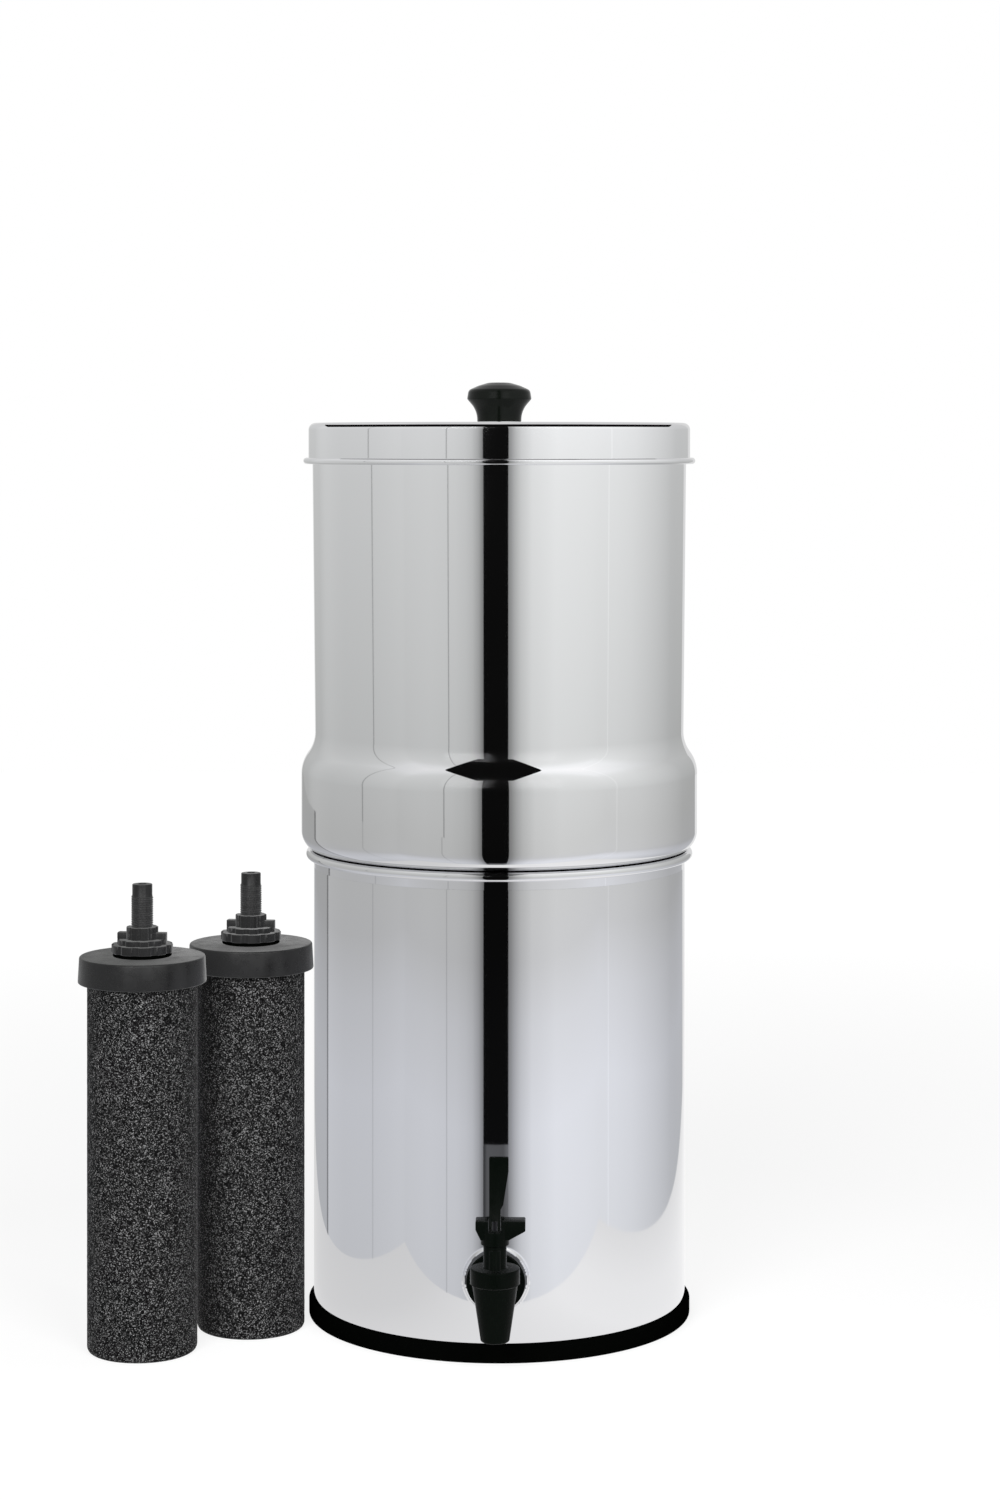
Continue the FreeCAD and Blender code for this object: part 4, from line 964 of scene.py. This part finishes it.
low_corner = paper("tent_low_corner", "Y", 0.1, TENT_BACK, [(0.1, 0.50), (TENT_BACK, 0.45)])
back_seam = plain_paper("tent_back_seam", 0.26)
wall("tent_left", (TENT_LEFT, TENT_BACK), (TENT_LEFT, TENT_FRONT), left_paper)
wall("tent_front_left", (TENT_LEFT, TENT_FRONT), (SLIT_LEFT, TENT_FRONT), front_left_paper)
wall("tent_slit", (SLIT_LEFT, TENT_FRONT), (SLIT_RIGHT, TENT_FRONT), slit_dark)
wall("tent_front_right", (SLIT_RIGHT, TENT_FRONT), (TENT_RIGHT, TENT_FRONT), front_right_paper)
wall("tent_right", (TENT_RIGHT, TENT_FRONT), (TENT_RIGHT, TENT_BACK), right_paper)
over_front = TENT_FRONT + NEARER
over_left = TENT_LEFT + NEARER
over_both = TENT_LEFT + 2 * NEARER
over_right = TENT_RIGHT - NEARER
for low, high, tone, x in (
    (SEAM_CHANGE, TENT_TOP, seam_dark, -0.0965),
    (0.0, SEAM_CHANGE, seam_pale, -0.1010),
):
    wall("tent_seam_front", (x, over_front), (x + SEAM, over_front), tone, low, high)
    wall("tent_seam_left", (over_left, -0.105), (over_left, -0.109), tone, low, high)
wall("tent_low_corner", (over_left, 0.50), (over_left, 0.100), low_corner, 0.0, SEAM_CHANGE)
wall("tent_seam_back", (over_both, 0.107), (over_both, 0.094), back_seam, 0.0, SEAM_CHANGE)
wall("tent_slit_foot", (SLIT_LEFT, over_front), (SLIT_RIGHT, over_front), slit_foot, 0.0, SLIT_FOOT)
wall("tent_fold_right", (over_right, -0.183), (over_right, -0.179), bright_fold)


# Dark sheets lie level over the slit and along the lid's front edge: painted shade, which the steel mirrors as
# dark bands. They are seen from below only, and a ray from above passes through them.
shade_sheet = bpy.data.materials.new("painted_shade_sheet")
shade_sheet.use_nodes = True
shade_sheet_tree = shade_sheet.node_tree
shade_sheet_tree.nodes.clear()
shade_sheet_side = add(shade_sheet_tree, "ShaderNodeNewGeometry")
shade_sheet_clear = add(shade_sheet_tree, "ShaderNodeBsdfTransparent")
shade_sheet_dark = add(shade_sheet_tree, "ShaderNodeEmission", Color=(0.004, 0.004, 0.004, 1), Strength=1.0)
shade_sheet_mix = add(shade_sheet_tree, "ShaderNodeMixShader", Fac=shade_sheet_side.outputs["Backfacing"], _1=shade_sheet_clear.outputs[0],
                _2=shade_sheet_dark.outputs[0])
add(shade_sheet_tree, "ShaderNodeOutputMaterial", Surface=shade_sheet_mix.outputs[0])
SHADE_SHEET_HEIGHT = 0.395
SHADE_SHEET_FRONT = TENT_FRONT + 0.0005
SHADE_SHEET_BACK = -0.118
screen("shade_over_slit", [
    (-0.036, SHADE_SHEET_FRONT, SHADE_SHEET_HEIGHT), (0.028, SHADE_SHEET_FRONT, SHADE_SHEET_HEIGHT),
    (0.053, SHADE_SHEET_BACK, SHADE_SHEET_HEIGHT), (-0.061, SHADE_SHEET_BACK, SHADE_SHEET_HEIGHT),
], shade_sheet)
LID_SHADE_HEIGHT = LID_TOP + 0.0025
LID_SHADE_NEAR = LID_RADIUS - 0.0005
LID_SHADE_FAR = LID_RADIUS + 0.0065
LID_SHADE_REACH = 68
LID_SHADE_STEPS = 24
lid_shade_angles = [
    math.radians(-90 + LID_SHADE_REACH * step / LID_SHADE_STEPS)
    for step in range(-LID_SHADE_STEPS, LID_SHADE_STEPS + 1)
]
near_arc, far_arc = (
    [(radius * math.cos(a), radius * math.sin(a), LID_SHADE_HEIGHT) for a in lid_shade_angles]
    for radius in (LID_SHADE_NEAR, LID_SHADE_FAR)
)
screen("shade_over_lid", far_arc + near_arc[::-1], shade_sheet)


# The room behind is plain white. It is dimmer for the light that falls on the filter, so that the black
# pieces keep their depth.
world = bpy.data.worlds.new("studio")
world.use_nodes = True
scene.world = world
sky = world.node_tree.nodes["Background"]
paths = add(world.node_tree, "ShaderNodeLightPath")
seen = add(world.node_tree, "ShaderNodeMath", {"operation": "MAXIMUM"}, _0=paths.outputs["Is Camera Ray"],
           _1=paths.outputs["Is Transmission Ray"])
mirrored = add(world.node_tree, "ShaderNodeMapRange", Value=paths.outputs["Is Glossy Ray"], To_Min=0.25,
               To_Max=0.75)
strength = add(world.node_tree, "ShaderNodeMapRange", Value=seen.outputs[0], To_Min=mirrored.outputs[0],
               To_Max=1.0)
world.node_tree.links.new(strength.outputs[0], sky.inputs["Strength"])
sky.inputs["Color"].default_value = (1, 1, 1, 1)



# The table is white paper that runs out of the picture. It takes soft shadows for the camera, but mirrors
# see it lit and plain, brighter on the right.
FLOOR_HALF = 3.0
floor_corners = [
    (x * FLOOR_HALF, y * FLOOR_HALF, 0) for x, y in ((-1, -1), (1, -1), (1, 1), (-1, 1))
]
floor_mesh = bpy.data.meshes.new("floor")
floor_mesh.from_pydata(floor_corners, [], [(0, 1, 2, 3)])
floor = bpy.data.objects.new("floor", floor_mesh)
scene.collection.objects.link(floor)
white, white_tree, white_shader = material("white_table", (0.9, 0.9, 0.9), Roughness=0.8)
white_end = white_tree.nodes["Material Output"]
white_paths = add(white_tree, "ShaderNodeLightPath")
white_share = add(white_tree, "ShaderNodeMath", {"operation": "MULTIPLY"},
                  _0=white_paths.outputs["Is Camera Ray"], _1=0.75)
white_any = add(white_tree, "ShaderNodeMath", {"operation": "MAXIMUM"}, _0=white_share.outputs[0],
                _1=white_paths.outputs["Is Glossy Ray"])
white_place = add(white_tree, "ShaderNodeTexCoord")
white_split = add(white_tree, "ShaderNodeSeparateXYZ", Vector=white_place.outputs["Object"])
white_tone = ramp(white_tree, white_split.outputs["X"], -0.4, 0.4, [
    (-0.4, 0.70), (-0.15, 0.76), (-0.04, 0.86), (0.12, 1.0), (0.2, 0.98), (0.4, 0.82),
])
white_away = add(white_tree, "ShaderNodeVectorMath", {"operation": "LENGTH"}, _0=white_place.outputs["Object"])
white_bare = add(white_tree, "ShaderNodeMapRange", Value=white_away.outputs["Value"], From_Min=0.4,
                 From_Max=1.6, To_Min=1.08, To_Max=1.25)
white_strength = add(white_tree, "ShaderNodeMapRange", Value=white_paths.outputs["Is Glossy Ray"],
                     To_Min=white_bare.outputs[0], To_Max=white_tone)
white_glow = add(white_tree, "ShaderNodeEmission", Strength=white_strength.outputs[0])
white_mix = add(white_tree, "ShaderNodeMixShader", Fac=white_any.outputs[0])
white_tree.links.new(white_shader.outputs[0], white_mix.inputs[1])
white_tree.links.new(white_glow.outputs[0], white_mix.inputs[2])
white_tree.links.new(white_mix.outputs[0], white_end.inputs["Surface"])
floor.data.materials.append(white)


# Two large soft lamps stand beside the camera, left and right, and look at the middle of the filter.
LAMP_AIM = Vector((0, 0, 0.25))
for name, place_at, size, power in (
    ("lamp_left", (-0.60, -1.80, 1.10), 0.9, 30.0),
    ("lamp_right", (0.75, -1.75, 1.05), 0.9, 25.0),
):
    lamp = bpy.data.objects.new(name, bpy.data.lights.new(name, "AREA"))
    lamp.data.energy = power
    lamp.data.size = size
    lamp.location = place_at
    lamp.rotation_euler = (LAMP_AIM - Vector(place_at)).to_track_quat("-Z", "Y").to_euler()
    scene.collection.objects.link(lamp)
